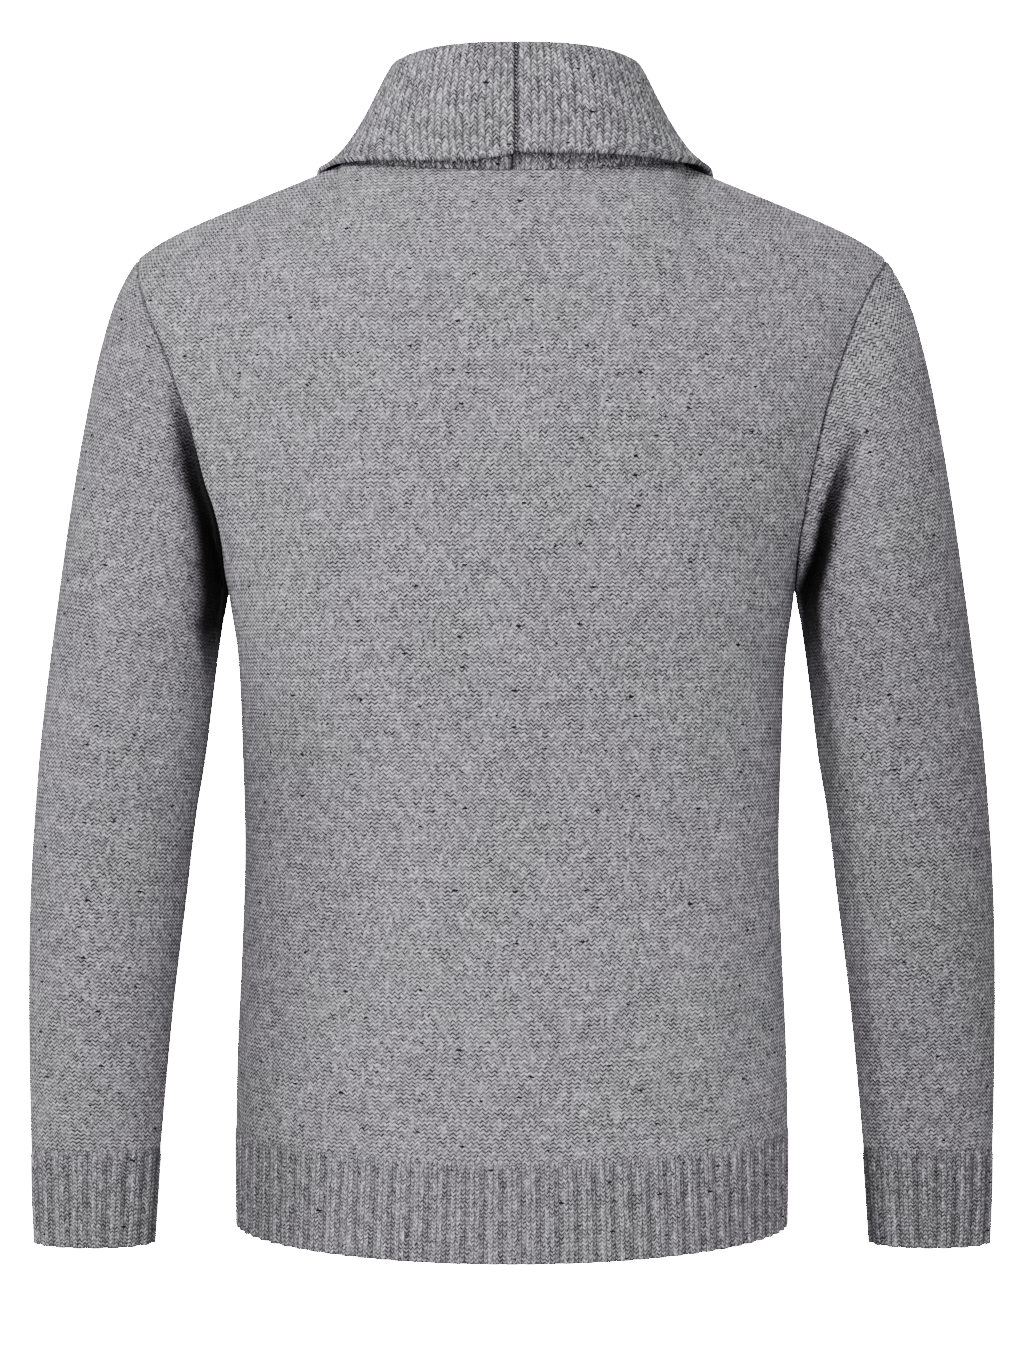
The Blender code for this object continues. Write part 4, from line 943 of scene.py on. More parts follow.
def creased(face, out, creases):
    """A face with soft troughs and ridges along its creases."""
    moved = np.array(face, float)
    for line in creases:
        start, end = np.array((line.x, line.z)), np.array((line.to_x, line.to_z))
        length = np.linalg.norm(end - start)
        way = (end - start) / length
        spot = face[..., (0, 2)] - start
        part = np.clip(spot @ way / length, 0.0, 1.0)
        aside = spot @ np.array((-way[1], way[0])) - line.bow * np.sin(math.pi * part)
        beyond = spot @ way - part * length
        swell = np.exp(-(aside ** 2 + beyond ** 2) / line.width ** 2)
        swell *= np.sin(math.pi * (CREASE_ENDS[0] + CREASE_ENDS[1] * part)) ** 1.5
        facing = ease(line.faces * out[..., 1], *CREASE_FACES)
        moved += out * (line.height * swell * facing)[..., None]
    return moved


# ---- ribs

def rib_places(ribs):
    """Places from 0 to 1 of the columns of a grid with this many ribs."""
    return np.linspace(0.0, 1.0, ribs * RIB_COLUMNS + 1)


def rib_starts(columns, distance):
    """How clear the ribs are at a distance from where they start, rib by rib."""
    rib = np.arange(columns) // (RIB_COLUMNS // 2)
    uneven = 0.5 + 0.5 * np.sin(rib * 2.4) * np.cos(rib * 1.1 + 0.7)
    late = RIB_LATE * uneven
    return ease(distance[:, None], late[None] - 0.001, late[None] + RIB_STARTS)


def rib_cloth(face, piece=0):
    """Cloth places on a ribbed piece: even ribs across, and true length along them."""
    v = lengths(face, 0)
    u = np.arange(face.shape[1]) * RIB_PITCH / RIB_COLUMNS
    return apart(np.stack((np.broadcast_to(u, v.shape), v), axis=-1), piece)


def rib_relief(ribbed, height):
    """How far each point of a ribbed face stands out from its middle."""
    return height * np.array([RIB_PROFILE[j % RIB_COLUMNS] for j in range(ribbed.shape[1])]) * ribbed


def rib_shell(name, side, face, out, cloth, ribbed, height=1.0, wrap=False, **marks):
    """A shell with its ribs raised, on its side of the body."""
    face = face + out * rib_relief(ribbed, height)[..., None]
    return shell(name, mirrored(face, side), mirrored(out, side), cloth, RIB_WALL, wrap=wrap,
                 ribbed=ribbed, **marks)


def hem_rows(rows):
    """Rows of a body table, from its foot to the top of the hem rib."""
    return body_rows(rows, np.linspace(BODY_KNOTS[0], BODY_KNOTS[RIB_TOP_ROW], HEM_ROWS))


def hem_back(ribs=41):
    """The back's hem rib."""
    lines = [section(row) for row in hem_rows(BACK)]
    lines = [np.vstack((mirrored(line[:0:-1], -1), line)) for line in lines]
    face = np.array([along(line, rib_places(ribs)) for line in lines])
    cloth = rib_cloth(face)
    ribbed = rib_starts(face.shape[1], cloth[-1, 0, 1] - cloth[:, 0, 1])
    # painted shade beside the side seams
    middle = face.shape[1] // 2
    dark = np.concatenate((side_shade(face[:, middle::-1], -1)[:, ::-1],
                           side_shade(face[:, middle + 1:], 1)), axis=1)
    return rib_shell("hem_rib_knit_back", 1, face, normals(face), cloth, ribbed, crease=dark)


def hem_front(half, name, ribs=20):
    """The hem rib of one front."""
    side = half.side
    face = lap(np.array([along(front_part(row), rib_places(ribs)) for row in hem_rows(FRONT)]), side)
    cloth = rib_cloth(face, 2 + side)
    ribbed = rib_starts(face.shape[1], cloth[-1, 0, 1] - cloth[:, 0, 1])
    # painted shade beside the side seam
    return rib_shell(name, side, face, -normals(face), cloth, ribbed, crease=side_shade(face, side))


def cuff(half, name, ribs=17):
    """A ribbed cuff."""
    side = half.side
    knots = knots_of(CUFF, (0, 1), (2, 3))
    turns = np.linspace(0.0, 2 * math.pi, CUFF_TURNS)
    rings = spline(knots, CUFF, np.linspace(0.0, knots[-1], HEM_ROWS))
    face = np.array([along(ring_points(ring, turns), rib_places(ribs)) for ring in rings])
    cloth = rib_cloth(face, 5 + side)
    ribbed = rib_starts(face.shape[1], cloth[:, 0, 1])
    ribbed[:, -1] = ribbed[:, 0]
    inward = -np.cos(np.linspace(0.0, 2 * math.pi, face.shape[1]))
    # painted shade on the inner side of the cuff, and at least as much as down the sleeve
    inner = np.maximum(ease(inward, *CUFF_SHADE_FACES) * CUFF_SHADE[side], SLEEVE_SHADE[side])
    return rib_shell(name, side, face, normals(face, wrap=True), cloth, ribbed, wrap=True,
                     crease=np.broadcast_to(inner, face.shape[:2]))


def collar(half, name, ribs=38):
    """One half of the shawl collar; its ribs are as wide on the fold as along the neck.

    Its rows run from 0 at the neck over 1 at the fold to 2 at the outer edge."""
    parts = rib_places(ribs)
    neck = along(np.hstack((half.neck, half.neck_step, half.rise)), parts)
    start, rise = neck[:, 0:3] - neck[:, 3:6], unit(neck[:, 6:9])
    guides = collar_guides(parts, half.side)
    rows = np.linspace(0.0, 2.0, COLLAR_ROWS)
    even = np.linspace(0.0, 1.0, COLLAR_ROWS)
    columns = []
    for k, part in enumerate(parts):
        inside, outside = collar_line(start[k], rise[k], *(guide[k] for guide in guides))
        line = np.vstack((inside, outside[1:]))
        run = run_of(line)
        rolled = np.interp(rows, (0.0, 1.0, 2.0), (0.0, run[len(inside) - 1] / run[-1], 1.0))
        flat = ease(part, EVEN_FROM, 1.0)
        columns.append(along(line, (1.0 - flat) * rolled + flat * even))
    face = np.stack(columns, axis=1)
    folded = parts < FOLD_FADES[half.side][1] - UNFOLDED
    low = COLLAR_ROWS // 2 + 1
    face[low:, folded] = clear_of_body(face[low:, folded], half)
    rows = rows[:, None]
    run = run_of(guides[0])
    spread = np.interp(parts, run / run[-1], parts) - parts
    at_edge = EDGE_SPREAD * ease(rows, 1.0, 2.0) * (1.0 - ease(parts, *EDGE_SPREAD_FADES))
    shift = parts[None] + (np.sin(math.pi / 2 * rows) + at_edge) * spread[None]
    face = np.array([read(at, parts, line) for at, line in zip(shift, face)])
    out = -normals(face)
    cloth = rib_cloth(face, 8 + half.side)
    across = lengths(face, 1)
    to_edge = cloth[-1:, :, 1] - cloth[..., 1]
    rolled = 1.0 - ease(parts, *END_OF_BEAD)
    ribbed = ease(across, *SEAM_PLAIN) * (1.0 - rolled * (1.0 - ease(to_edge, *BEAD_SMOOTH)))
    bead = rolled * np.clip(1.0 - ((to_edge - EDGE_BEAD / 2) / (EDGE_BEAD / 2)) ** 2, 0.0, 1.0)
    # painted shade along the centre back seam, full on the fall and lighter on the stand
    seam_shade = COLLAR_SEAM_DARK * (1.0 - ease(across, *COLLAR_SEAM_SHADE))
    seam_shade *= SEAM_SHADE_ON_STAND + (1.0 - SEAM_SHADE_ON_STAND) * ease(rows, *SEAM_SHADE_FADES)
    over_fold = 1.0 - FOLD_SMOOTH * np.exp(-((rows - 1.0) / FOLD_ROUND) ** 2) * rolled
    relief = rib_relief(ribbed, COLLAR_RELIEF) * over_fold
    half.centre = face[:, 0] - out[:, 0] * (SEAM_DIP - SEAM_BEAD / 2), out[:, 0]
    face = face + out * (relief + BEAD_HEIGHT * np.sqrt(bead) - dip(across))[..., None]
    return shell(name, mirrored(face, half.side), mirrored(out, half.side), cloth, RIB_WALL,
                 ribbed=ribbed, crease=seam_shade)


def clear_of_body(points, half):
    """Lift what lies on the panels clear of them, square to their nearest points."""
    body, out = (np.vstack([grid[::2].reshape(-1, 3) for grid in grids])
                 for grids in ((half.front, half.back), (half.front_out, half.back_out)))
    near = body[:, 2] > V_POINT_Z - CLEAR_BELOW_V
    body, out = body[near], out[near]
    lifted = points.copy()
    for row in range(points.shape[0]):
        offset = points[row][:, None] - body[None]
        nearest = np.argmin(np.sum(offset * offset, axis=2), axis=1)
        offset, up = offset[np.arange(len(nearest)), nearest], out[nearest]
        short = np.maximum(FALL_CLEAR - np.sum(offset * up, axis=1), 0.0)
        short *= 1.0 - ease(np.linalg.norm(offset, axis=1), *CLEAR_FADES)
        lifted[row] += short[:, None] * up
    return lifted


def band(half, name):
    """A front band, with its ribs across it, from the V point down to the hem."""
    hem = lap(front_part(FRONT[0])[:1], half.side)
    seam = np.vstack((half.front[:half.v_point + 1, 0][::-1], hem))
    line = along(seam, rib_places(round((V_POINT_Z - FRONT[0].mid_z) / RIB_PITCH)))
    across = np.linspace(0.0, 1.0, BAND_COLUMNS)
    face = line[None] - across[:, None, None] * np.array((BAND_WIDTH, 0.0, 0.0))
    out = np.broadcast_to((0.0, -1.0, 0.0), face.shape)
    return rib_shell(name, half.side, face, out, rib_cloth(face, 11 + half.side),
                     np.ones(face.shape[:2]), BAND_RELIEF)


# ---- stitches and buttons

def made(name, mesh):
    """An object from a finished bmesh, with its faces pointing out."""
    bmesh.ops.recalc_face_normals(mesh, faces=mesh.faces)
    data = bpy.data.meshes.new(name)
    mesh.to_mesh(data)
    mesh.free()
    data.shade_smooth()
    return placed(name, data)


def stitches(name, line, out, size, step):
    """A row of linking stitches along a line: small slanted beads of yarn."""
    count = max(2, round(run_of(line)[-1] / step))
    at = (np.arange(count) + 0.5) / count
    spots = along(line, at)
    ups = unit(along(np.hstack((line, out)), at)[:, 3:6])
    ways = unit(np.gradient(spots, axis=0))
    mesh = bmesh.new()
    for k, (spot, up, way) in enumerate(zip(spots, ups, ways)):
        up = Vector(up)
        length = Matrix.Rotation(STITCH_LEANS[k % 2], 3, up) @ Vector(way)
        side = up.cross(length).normalized()
        place = Matrix((length * size[0], side * size[1], up * size[2])).transposed().to_4x4()
        place.translation = Vector(spot)
        bmesh.ops.create_icosphere(mesh, subdivisions=2, radius=0.5, matrix=place)
    return made(name, mesh)


def button(name, low, high):
    """A button with a raised rim, a dished middle and four holes, facing forwards."""
    radius = (high[0] - low[0]) / 2
    front, back = low[1], high[1]
    mesh = bmesh.new()
    rim = circle(mesh, 0.0, front + DISH, 0.0, radius * RIM_INSIDE, RIM_SIDES)
    holes = [circle(mesh, x * HOLE_APART / 2, front + DISH, z * HOLE_APART / 2, HOLE_RADIUS,
                    HOLE_SIDES) for x in (-1, 1) for z in (-1, 1)]
    bmesh.ops.triangle_fill(mesh, edges=mesh.edges, use_beauty=True, normal=(0.0, -1.0, 0.0))
    for size, depth in BUTTON_PROFILE:
        rim, verts = drawn_out(mesh, rim)
        grow = size * radius / math.hypot(verts[0].co.x, verts[0].co.z)
        for vert in verts:
            vert.co = (vert.co.x * grow, front + depth * (back - front), vert.co.z * grow)
    ends = list(rim)
    for hole in holes:
        hole, verts = drawn_out(mesh, hole)
        for vert in verts:
            vert.co.y = back
        ends += hole
    bmesh.ops.triangle_fill(mesh, edges=ends, use_beauty=True, normal=(0.0, 1.0, 0.0))
    middle = ((low[0] + high[0]) / 2, 0.0, (low[2] + high[2]) / 2)
    bmesh.ops.translate(mesh, vec=middle, verts=mesh.verts)
    piece = made(name, mesh)
    piece.data.set_sharp_from_angle(angle=SHARP)
    return piece


def circle(mesh, x, y, z, radius, count):
    """The edges of a circle that faces forwards."""
    place = Matrix.Translation((x, y, z)) @ Matrix.Rotation(math.radians(90), 4, "X")
    ring = bmesh.ops.create_circle(mesh, segments=count, radius=radius, matrix=place)["verts"]
    return list(dict.fromkeys(edge for vert in ring for edge in vert.link_edges))


def drawn_out(mesh, edges):
    """A loop of edges extruded: its new edges and points."""
    new = bmesh.ops.extrude_edge_only(mesh, edges=edges)["geom"]
    verts = [item for item in new if isinstance(item, bmesh.types.BMVert)]
    loop = [item for item in new if isinstance(item, bmesh.types.BMEdge)
            and all(vert in verts for vert in item.verts)]
    return loop, verts


def button_thread(name, low, high):
    """Two bars of thread through a button's holes."""
    centre = (np.array(low) + np.array(high)) / 2
    turns = np.linspace(0.0, math.pi, THREAD_STEPS)
    rise = -THREAD_RISE * np.sin(turns) + THREAD_DEEP * (np.sin(turns) < 0.2)
    mesh = bmesh.new()
    for across in (-1, 1):
        for strand in (-1, 0, 1):
            x = across * HOLE_APART / 2 + strand * (STRANDS_APART + STRANDS_SPREAD * np.sin(turns))
            path = np.stack((x, rise, HOLE_APART / 2 * np.cos(turns)), axis=1)
            tube(mesh, path + (centre[0], low[1] + DISH, centre[2]), THREAD / 2)
    return made(name, mesh)


def buttonhole(name, low, high):
    """The stitches round the buttonhole that a button fills."""
    turns = np.linspace(0.0, 2 * math.pi, HOLE_TURNS)
    reach = (high[0] - low[0]) / 2 + HOLE_BEYOND
    line = np.stack(((low[0] + high[0]) / 2 + reach * np.cos(turns), np.full(HOLE_TURNS, high[1]),
                     (low[2] + high[2]) / 2 + HOLE_OPEN * np.sin(turns)), axis=1)
    return stitches(name, line, np.broadcast_to((0.0, -1.0, 0.0), line.shape), NECK_STITCH, HOLE_STEP)


def tube(mesh, path, radius, sides=7):
    """A round strand along a path: a circle spun from point to point and bridged."""
    ways = unit(np.gradient(np.asarray(path, float), axis=0))
    last = None
    for k, (spot, way) in enumerate(zip(path, ways)):
        place = Vector(way).to_track_quat("Z", "Y").to_matrix().to_4x4()
        place.translation = Vector(spot)
        ring = bmesh.ops.create_circle(mesh, cap_ends=k in (0, len(path) - 1), segments=sides,
                                       radius=radius, matrix=place)["verts"]
        edges = list(dict.fromkeys(edge for vert in ring for edge in vert.link_edges
                                   if edge.other_vert(vert) in ring and len(edge.link_faces) < 2))
        if last is not None:
            bmesh.ops.bridge_loops(mesh, edges=last + edges)
        last = edges


# ---- materials

class Nodes:
    """Short calls that add nodes to a node tree and link them."""

    def __init__(self, tree):
        self.tree = tree

    def add(self, kind, settings=None, **inputs):
        node = self.tree.nodes.new("ShaderNode" + kind)
        for key, value in (settings or {}).items():
            setattr(node, key, value)
        for key, value in inputs.items():
            self.put(node.inputs[key.replace("_", " ")], value)
        return node

    def put(self, socket, value):
        if isinstance(value, bpy.types.NodeSocket):
            self.tree.links.new(value, socket)
        else:
            socket.default_value = value

    def fill(self, node, *values):
        """Put values on a node's first inputs."""
        for socket, value in zip(node.inputs, values):
            self.put(socket, value)
        return node.outputs[0]

    def math(self, operation, *values, clamp=False):
        return self.fill(self.add("Math", {"operation": operation, "use_clamp": clamp}), *values)

    def times(self, *values, **more):
        return self.math("MULTIPLY", *values, **more)

    def scaled(self, value, factor, plus):
        """The value times the factor, plus something."""
        return self.math("MULTIPLY_ADD", value, factor, plus)

    def less(self, value, taken):
        return self.math("SUBTRACT", value, taken)

    def vector(self, x, y, z=0.0):
        return self.add("CombineXYZ", X=x, Y=y, Z=z).outputs[0]

    def split(self, vector):
        return self.add("SeparateXYZ", Vector=vector).outputs

    def noise(self, vector, scale, detail=2.0, output="Fac"):
        return self.add("TexNoise", Vector=vector, Scale=scale, Detail=detail).outputs[output]

    def sway(self, *noise):
        """Noise about zero."""
        return self.less(self.noise(*noise), 0.5)

    def white(self, x, y=0.0):
        return self.add("TexWhiteNoise", Vector=self.vector(x, y)).outputs

    def draws(self, colour):
        """The random numbers in a colour."""
        return self.add("SeparateColor", Color=colour).outputs

    def wave(self, turns):
        """A cosine wave of whole turns."""
        return self.math("COSINE", self.times(turns, math.tau))

    def span(self, value, low, high):
        node = self.add("MapRange", {"interpolation_type": "SMOOTHSTEP"})
        return self.fill(node, value, low, high, 0.0, 1.0)

    def mix(self, part, one, other, way="MIX"):
        node = self.add("Mix", {"data_type": "RGBA", "blend_type": way})
        for place, value in ((0, part), (6, one), (7, other)):
            self.put(node.inputs[place], value)
        return node.outputs[2]

    def attribute(self, name):
        return self.add("Attribute", {"attribute_name": name}).outputs["Fac"]


def group(name, outputs, **inputs):
    """A node group that takes a cloth place and numbers, with its nodes, what they are
    given, and the call that puts its outputs."""
    tree = bpy.data.node_groups.new(name, "ShaderNodeTree")
    tree.interface.new_socket("Cloth", in_out="INPUT", socket_type="NodeSocketVector")
    for label, value in inputs.items():
        socket = tree.interface.new_socket(label, in_out="INPUT", socket_type="NodeSocketFloat")
        socket.default_value = value
    for label in outputs:
        tree.interface.new_socket(label, in_out="OUTPUT", socket_type="NodeSocketFloat")
    ends = tree.nodes.new("NodeGroupOutput")

    def put(**sockets):
        for label, socket in sockets.items():
            tree.links.new(socket, ends.inputs[label])
        return tree

    return Nodes(tree), tree.nodes.new("NodeGroupInput").outputs, put


def purl_courses():
    """The wrong side of plain knitting: uneven courses of short slanted dashes over pits darkened by
    painted shade.
    """
    n, given, put = group("purl courses", ("Height", "Pit", "Tone"), Wale=0.0036, Course=0.00255)
    cloth = given["Cloth"]
    across, up, _ = n.split(cloth)
    # the courses and wales wander slowly, and shake from stitch to stitch
    drift = n.sway(cloth, 62.0)
    shake = n.sway(cloth, 330.0, 1.0)
    level = n.scaled(drift, 0.9, n.math("DIVIDE", up, given["Course"]))
    slip = n.white(n.math("ROUND", level))["Value"]
    wander = n.sway(n.vector(up, across, 0.5), 40.0, 1.0)
    wales = n.scaled(wander, 1.0, n.math("DIVIDE", across, given["Wale"]))
    wales = n.scaled(slip, 0.15, n.scaled(shake, 0.35, wales))
    # each wale swings its course up and down, more in some places than in others
    zigzag = n.scaled(n.math("PINGPONG", wales, 0.5), 4.0, -1.0)
    swing = n.scaled(n.noise(cloth, 90.0, 1.0), 0.40, 0.13)
    row = n.math("ADD", n.scaled(shake, 0.25, level), n.times(zigzag, swing))
    ridge = n.scaled(n.wave(row), 0.5, 0.5)
    # every leg of a stitch draws its own tone, and strands and streaks run along the course
    course = n.math("ROUND", row)
    draw = n.draws(n.white(n.math("FLOOR", n.times(wales, 2.0)), course)["Color"])
    strand = n.noise(n.vector(n.times(wales, 0.6), n.times(course, 7.31)), 1.0)
    streak = n.noise(n.vector(n.times(wales, 0.11), n.times(course, 3.77)), 1.0)
    # painted shade in the pits, more in some stitches than in others
    deep = n.scaled(draw[0], 0.8, 0.52)
    tone = n.scaled(streak, 0.9, n.scaled(draw[1], 1.2, n.times(strand, 1.2)))
    return put(Height=n.times(ridge, n.scaled(draw[1], 0.6, 0.6)),
               Pit=n.times(n.math("POWER", n.less(1.0, ridge), 1.10), deep, clamp=True),
               Tone=n.less(tone, 1.45))


def rib_courses():
    """Ribbed knitting: columns of slanted legs, a bright line at each side of a rib, and
    furrows half as wide as the repeat, with painted shade in the furrows and in the gaps
    between columns."""
    n, given, put = group(
        "rib courses", ("Height", "Pit", "Tone", "Furrow"), Ribbed=1.0, Pitch=RIB_PITCH,
        Course=0.0026, Lines=0.5, Depth=0.5, Wales=4.0, Breaks=0.30, Swing=0.34, Gaps=1.0)
    cloth = given["Cloth"]
    across, up, _ = n.split(cloth)
    drift = n.sway(cloth, 75.0)
    shake = n.sway(cloth, 380.0, 1.0)
    ribs = n.math("DIVIDE", across, given["Pitch"])
    wales = n.scaled(shake, 0.35, n.times(ribs, given["Wales"]))
    wave = n.wave(n.scaled(drift, 0.14, ribs))
    # painted shade in the furrows, and the bright line at each side of a rib
    zone = n.span(n.scaled(shake, 0.9, wave), -0.25, 0.55)
    line = n.span(n.math("ABSOLUTE", n.math("ADD", wave, 0.22)), 0.36, 0.04)
    # legs that slant, and are set off from column to column
    level = n.math("DIVIDE", up, given["Course"])
    level = n.scaled(drift, 1.6, n.scaled(shake, 0.5, level))
    bend = n.math("PINGPONG", wales, 0.5)
    slip = n.white(n.math("FLOOR", wales))["Value"]
    row = n.scaled(slip, 0.7, n.scaled(n.scaled(bend, 4.0, -1.0), given["Swing"], level))
    ridge = n.scaled(n.wave(row), 0.5, 0.5)
    draw = n.draws(n.white(n.math("FLOOR", n.times(wales, 2.0)), n.math("ROUND", row))["Color"])
    strand = n.noise(n.vector(n.times(wales, 2.25), n.times(level, given["Breaks"])), 1.0)
    glint = n.times(n.times(line, n.scaled(strand, 2.0, -0.25)), n.times(given["Lines"], given["Ribbed"]))
    tone = n.scaled(draw[1], 1.0, n.times(strand, 1.5))
    patch = n.scaled(n.noise(cloth, 120.0, 1.0), 0.9, 0.55)
    furrow = n.times(n.times(zone, patch), given["Ribbed"])
    # painted shade in the pits between stitches
    pit = n.times(n.math("POWER", n.less(1.0, ridge), 1.15), n.scaled(draw[0], 0.8, 0.45))
    # painted shade in the gaps between two columns, broken up along them
    gap = n.times(n.span(bend, 0.17, 0.02), n.less(1.0, line))
    gap = n.times(n.times(gap, n.scaled(strand, 1.0, 0.70)), given["Gaps"])
    return put(Height=ridge, Pit=n.math("MAXIMUM", pit, gap, clamp=True),
               Tone=n.math("ADD", n.less(tone, 1.25), glint),
               Furrow=n.times(furrow, given["Depth"], clamp=True))


def flecks():
    """Neps spun into the yarn: masks of dark flecks and of small white specks."""
    n, given, put = group("flecks", ("Dark", "White"))
    cloth = given["Cloth"]
    ragged = n.noise(cloth, 900.0, 1.0, "Color")
    shake = n.add("VectorMath", {"operation": "SCALE"}, Scale=0.0016)
    bent = n.add("VectorMath", {"operation": "ADD"})
    across, up, _ = n.split(n.fill(bent, cloth, n.fill(shake, ragged)))
    masks = []
    for cell, radius, stretch, share, shift in FLECKS:
        at = n.vector(n.math("ADD", across, shift), n.times(up, stretch))
        cells = n.add("TexVoronoi", {"voronoi_dimensions": "2D"}, Vector=at, Scale=1.0 / cell).outputs
        draw = n.draws(cells["Color"])
        reach = n.times(n.scaled(draw[0], 0.8, 0.4), radius / cell)
        inside = n.math("LESS_THAN", cells["Distance"], reach)
        masks.append(n.times(inside, n.math("LESS_THAN", draw[1], share)))
    return put(Dark=n.math("MAXIMUM", masks[0], masks[1]), White=masks[2])


def material(name, **inputs):
    """A new material with some inputs of its shader set: it, its nodes and the shader's inputs."""
    new = bpy.data.materials.new(name)
    new.use_nodes = True
    shader = new.node_tree.nodes["Principled BSDF"].inputs
    for key, value in inputs.items():
        shader[key.replace("_", " ")].default_value = value
    return new, Nodes(new.node_tree), shader


def knit(name, courses, spots, light=1.0, contrast=1.0, **given):
    """A knitted cloth's material; light and contrast set its yarn, and the rest its ribs."""
    new, n, shader = material(name, Roughness=0.92, Specular_IOR_Level=0.15, Sheen_Weight=0.04,
                              Sheen_Roughness=0.5)
    cloth = n.add("UVMap", {"uv_map": "cloth"}).outputs[0]
    if given:
        given["Ribbed"] = n.attribute("ribbed")
    knitting = n.add("Group", {"node_tree": courses}, Cloth=cloth, **given).outputs
    spots = n.add("Group", {"node_tree": spots}, Cloth=cloth).outputs
    tone = n.scaled(n.sway(cloth, 24.0, 4.0), 0.35, n.times(knitting["Tone"], contrast))
    tone = n.scaled(n.sway(cloth, 850.0, 1.0), 2.3, tone)
    tone = n.times(n.math("POWER", 2.0, tone), light)
    # painted shade in the rib furrows
    if given:
        tone = n.times(tone, n.scaled(knitting["Furrow"], -1.0, 1.0))
    # painted shade in the pits between stitches and the gaps between columns
    colour = n.mix(knitting["Pit"], KNIT_LIGHT, KNIT_DARK)
    colour = n.mix(1.0, colour, n.vector(tone, tone, tone), "MULTIPLY")
    tint = n.mix(n.span(n.noise(cloth, 9.0, 3.0), 0.38, 0.62), WARM_TINT, COOL_TINT)
    colour = n.mix(1.0, colour, tint, "MULTIPLY")
    colour = n.mix(spots["Dark"], colour, FLECK_DARK)
    colour = n.mix(spots["White"], colour, FLECK_WHITE)
    # painted shade: the crease mark mixes the colour toward SHADOW in the underarm folds, at seams,
    # beside the sleeves and down the sleeves and cuffs
    n.put(shader["Base Color"], n.mix(n.attribute("crease"), colour, SHADOW))
    height = n.scaled(n.noise(cloth, 2600.0), 0.25, knitting["Height"])
    bump = n.add("Bump", Strength=0.65, Distance=0.0009, Height=height)
    n.put(shader["Normal"], bump.outputs[0])
    return new


def yarn():
    """Loose strands of the same yarn: the stitches that link the pieces."""
    new, n, shader = material("grey_yarn", Roughness=0.95, Specular_IOR_Level=0.15)
    place = n.add("TexCoord").outputs["Object"]
    n.put(shader["Base Color"], n.mix(n.noise(place, 420.0, 3.0), KNIT_DARK, KNIT_LIGHT))
    bump = n.add("Bump", Strength=0.5, Distance=0.0004, Height=n.noise(place, 3000.0))
    n.put(shader["Normal"], bump.outputs[0])
    return new


def plastic():
    """Dark button plastic with a soft swirl."""
    new, n, shader = material("button_plastic", Roughness=0.32)
    swirl = n.noise(n.add("TexCoord").outputs["Object"], 260.0, 3.0)
    n.put(shader["Base Color"], n.mix(swirl, HORN_DARK, HORN_LIGHT))
    return new


# ---- stage

def studio():
    """A pale floor far below, soft light all round and large soft lamps."""
    bpy.ops.mesh.primitive_circle_add(vertices=96, radius=FLOOR_RADIUS, fill_type="NGON",
                                      location=(0.0, 0.0, FLOOR_Z))
    floor = bpy.context.object
    floor.name = "floor"
    floor.data.materials.append(material("floor_pale", Base_Color=FLOOR_PALE, Roughness=0.9)[0])
    world = bpy.data.worlds.new("soft_white")
    bpy.context.scene.world = world
    world.use_nodes = True
    n = Nodes(world.node_tree)
    light = world.node_tree.nodes["Background"]
    n.fill(light, WHITE, AROUND)
    backdrop = n.add("Background", Color=WHITE, Strength=BACKDROP)
    seen = n.add("LightPath").outputs["Is Camera Ray"]
    both = n.fill(n.add("MixShader"), seen, light.outputs[0], backdrop.outputs[0])
    n.put(world.node_tree.nodes["World Output"].inputs["Surface"], both)
    for name, place, power, size in LAMPS:
        lamp = bpy.data.lights.new(name, "AREA")
        lamp.energy = power
        lamp.size = size
        item = placed(name, lamp)
        item.location = place
        item.rotation_euler = (Vector(MIDDLE) - item.location).to_track_quat("-Z", "Y").to_euler()


def camera():
    """A level camera behind the garment."""
    data = bpy.data.cameras.new("camera")
    data.sensor_width = SENSOR
    data.lens = SENSOR * CAMERA_AWAY / VIEW_HEIGHT
    view = placed("camera", data)
    view.location = (0.0, CAMERA_AWAY, CAMERA_Z)
    view.rotation_euler = (math.radians(90), 0.0, math.radians(180))
    bpy.context.scene.camera = view


# ---- the garment

def trim(piece, finish, slot, node=None):
    """Give a piece its finish and its place in the frame."""
    piece.data.materials.append(finish)
    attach(piece, "root")
    if node:
        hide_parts(node)


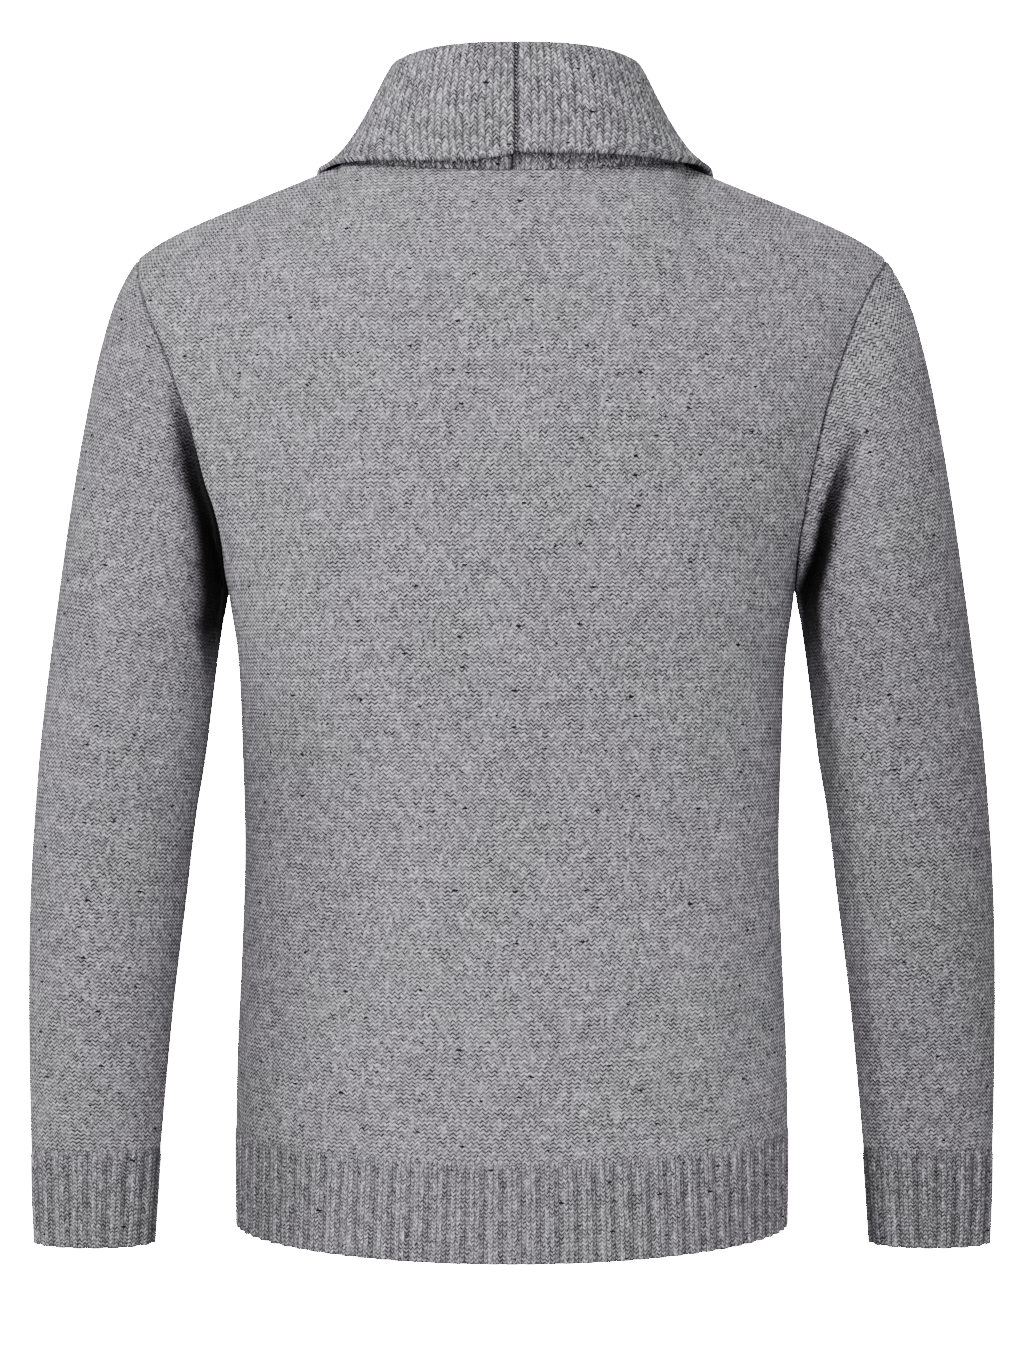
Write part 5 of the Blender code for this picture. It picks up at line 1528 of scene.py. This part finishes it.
def dress(piece, finish, slot, node, flat, area=None):
    """Give a piece of cloth its finish and its place in the frame."""
    trim(piece, finish, slot, node)


def main():
    camera()
    studio()
    spots, ribs = flecks(), rib_courses()
    body = knit("grey_purl_knit", purl_courses(), spots, contrast=0.9)
    rib = knit("grey_rib_knit", ribs, spots, 1.04, 1.05, Lines=0.60, Depth=0.26, Gaps=0.75, Breaks=0.40)
    soft_rib = knit("grey_collar_knit", ribs, spots, 1.08, 1.75, Lines=0.25, Depth=0.26, Gaps=0.55,
                    Pitch=0.0038, Wales=1.0, Course=0.0029, Breaks=1.5, Swing=0.50)
    strand, horn = yarn(), plastic()
    halves = [Half(side) for side in (1, -1)]
    dress(back_panel(halves[0]), body, "body_knit", "back", (0.50, 0.64), 0.282)
    dress(hem_back(), rib, "rib_knit", "hem_rib_back", (0.47, 0.066))
    cuts = (("front", front_panel, body, "body_knit", (0.25, 0.64), 0.120),
            ("sleeve", sleeve_panel, body, "body_knit", (0.50, 0.57), 0.148),
            ("hem_rib", hem_front, rib, "rib_knit", (0.23, 0.064), None),
            ("cuff", cuff, rib, "rib_knit", (0.20, 0.063), None),
            ("collar", collar, soft_rib, "rib_knit", (0.43, 0.163), 0.060),
            ("band", band, rib, "rib_knit", (0.04, 0.47), None))
    for half, word in zip(halves, ("left", "right")):
        for part, build, finish, slot, flat, area in cuts:
            dress(build(half, f"{part}_knit_{word}"), finish, slot, f"{part}_{word}", flat, area)
        line = mirrored(half.neck - half.neck_out * SEAM_BEAD / 2, half.side)
        trim(stitches(f"neck_stitches_{word}", line, mirrored(half.neck_out, half.side),
                      NECK_STITCH, STITCH_STEP), strand, "rib_knit")
    line, out = halves[0].centre
    trim(stitches("collar_stitches", line, out, COLLAR_STITCH, STITCH_STEP), strand, "rib_knit")
    for k in range(1, BUTTON_COUNT + 1):
        name = f"button_{k}"
        low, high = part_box(name)
        trim(button(f"horn_{name}", low, high), horn, "button", name)
        trim(button_thread(f"thread_{name}", low, high), strand, "button")
        trim(buttonhole(f"buttonhole_stitches_{k}", low, high), strand, "rib_knit")


main()
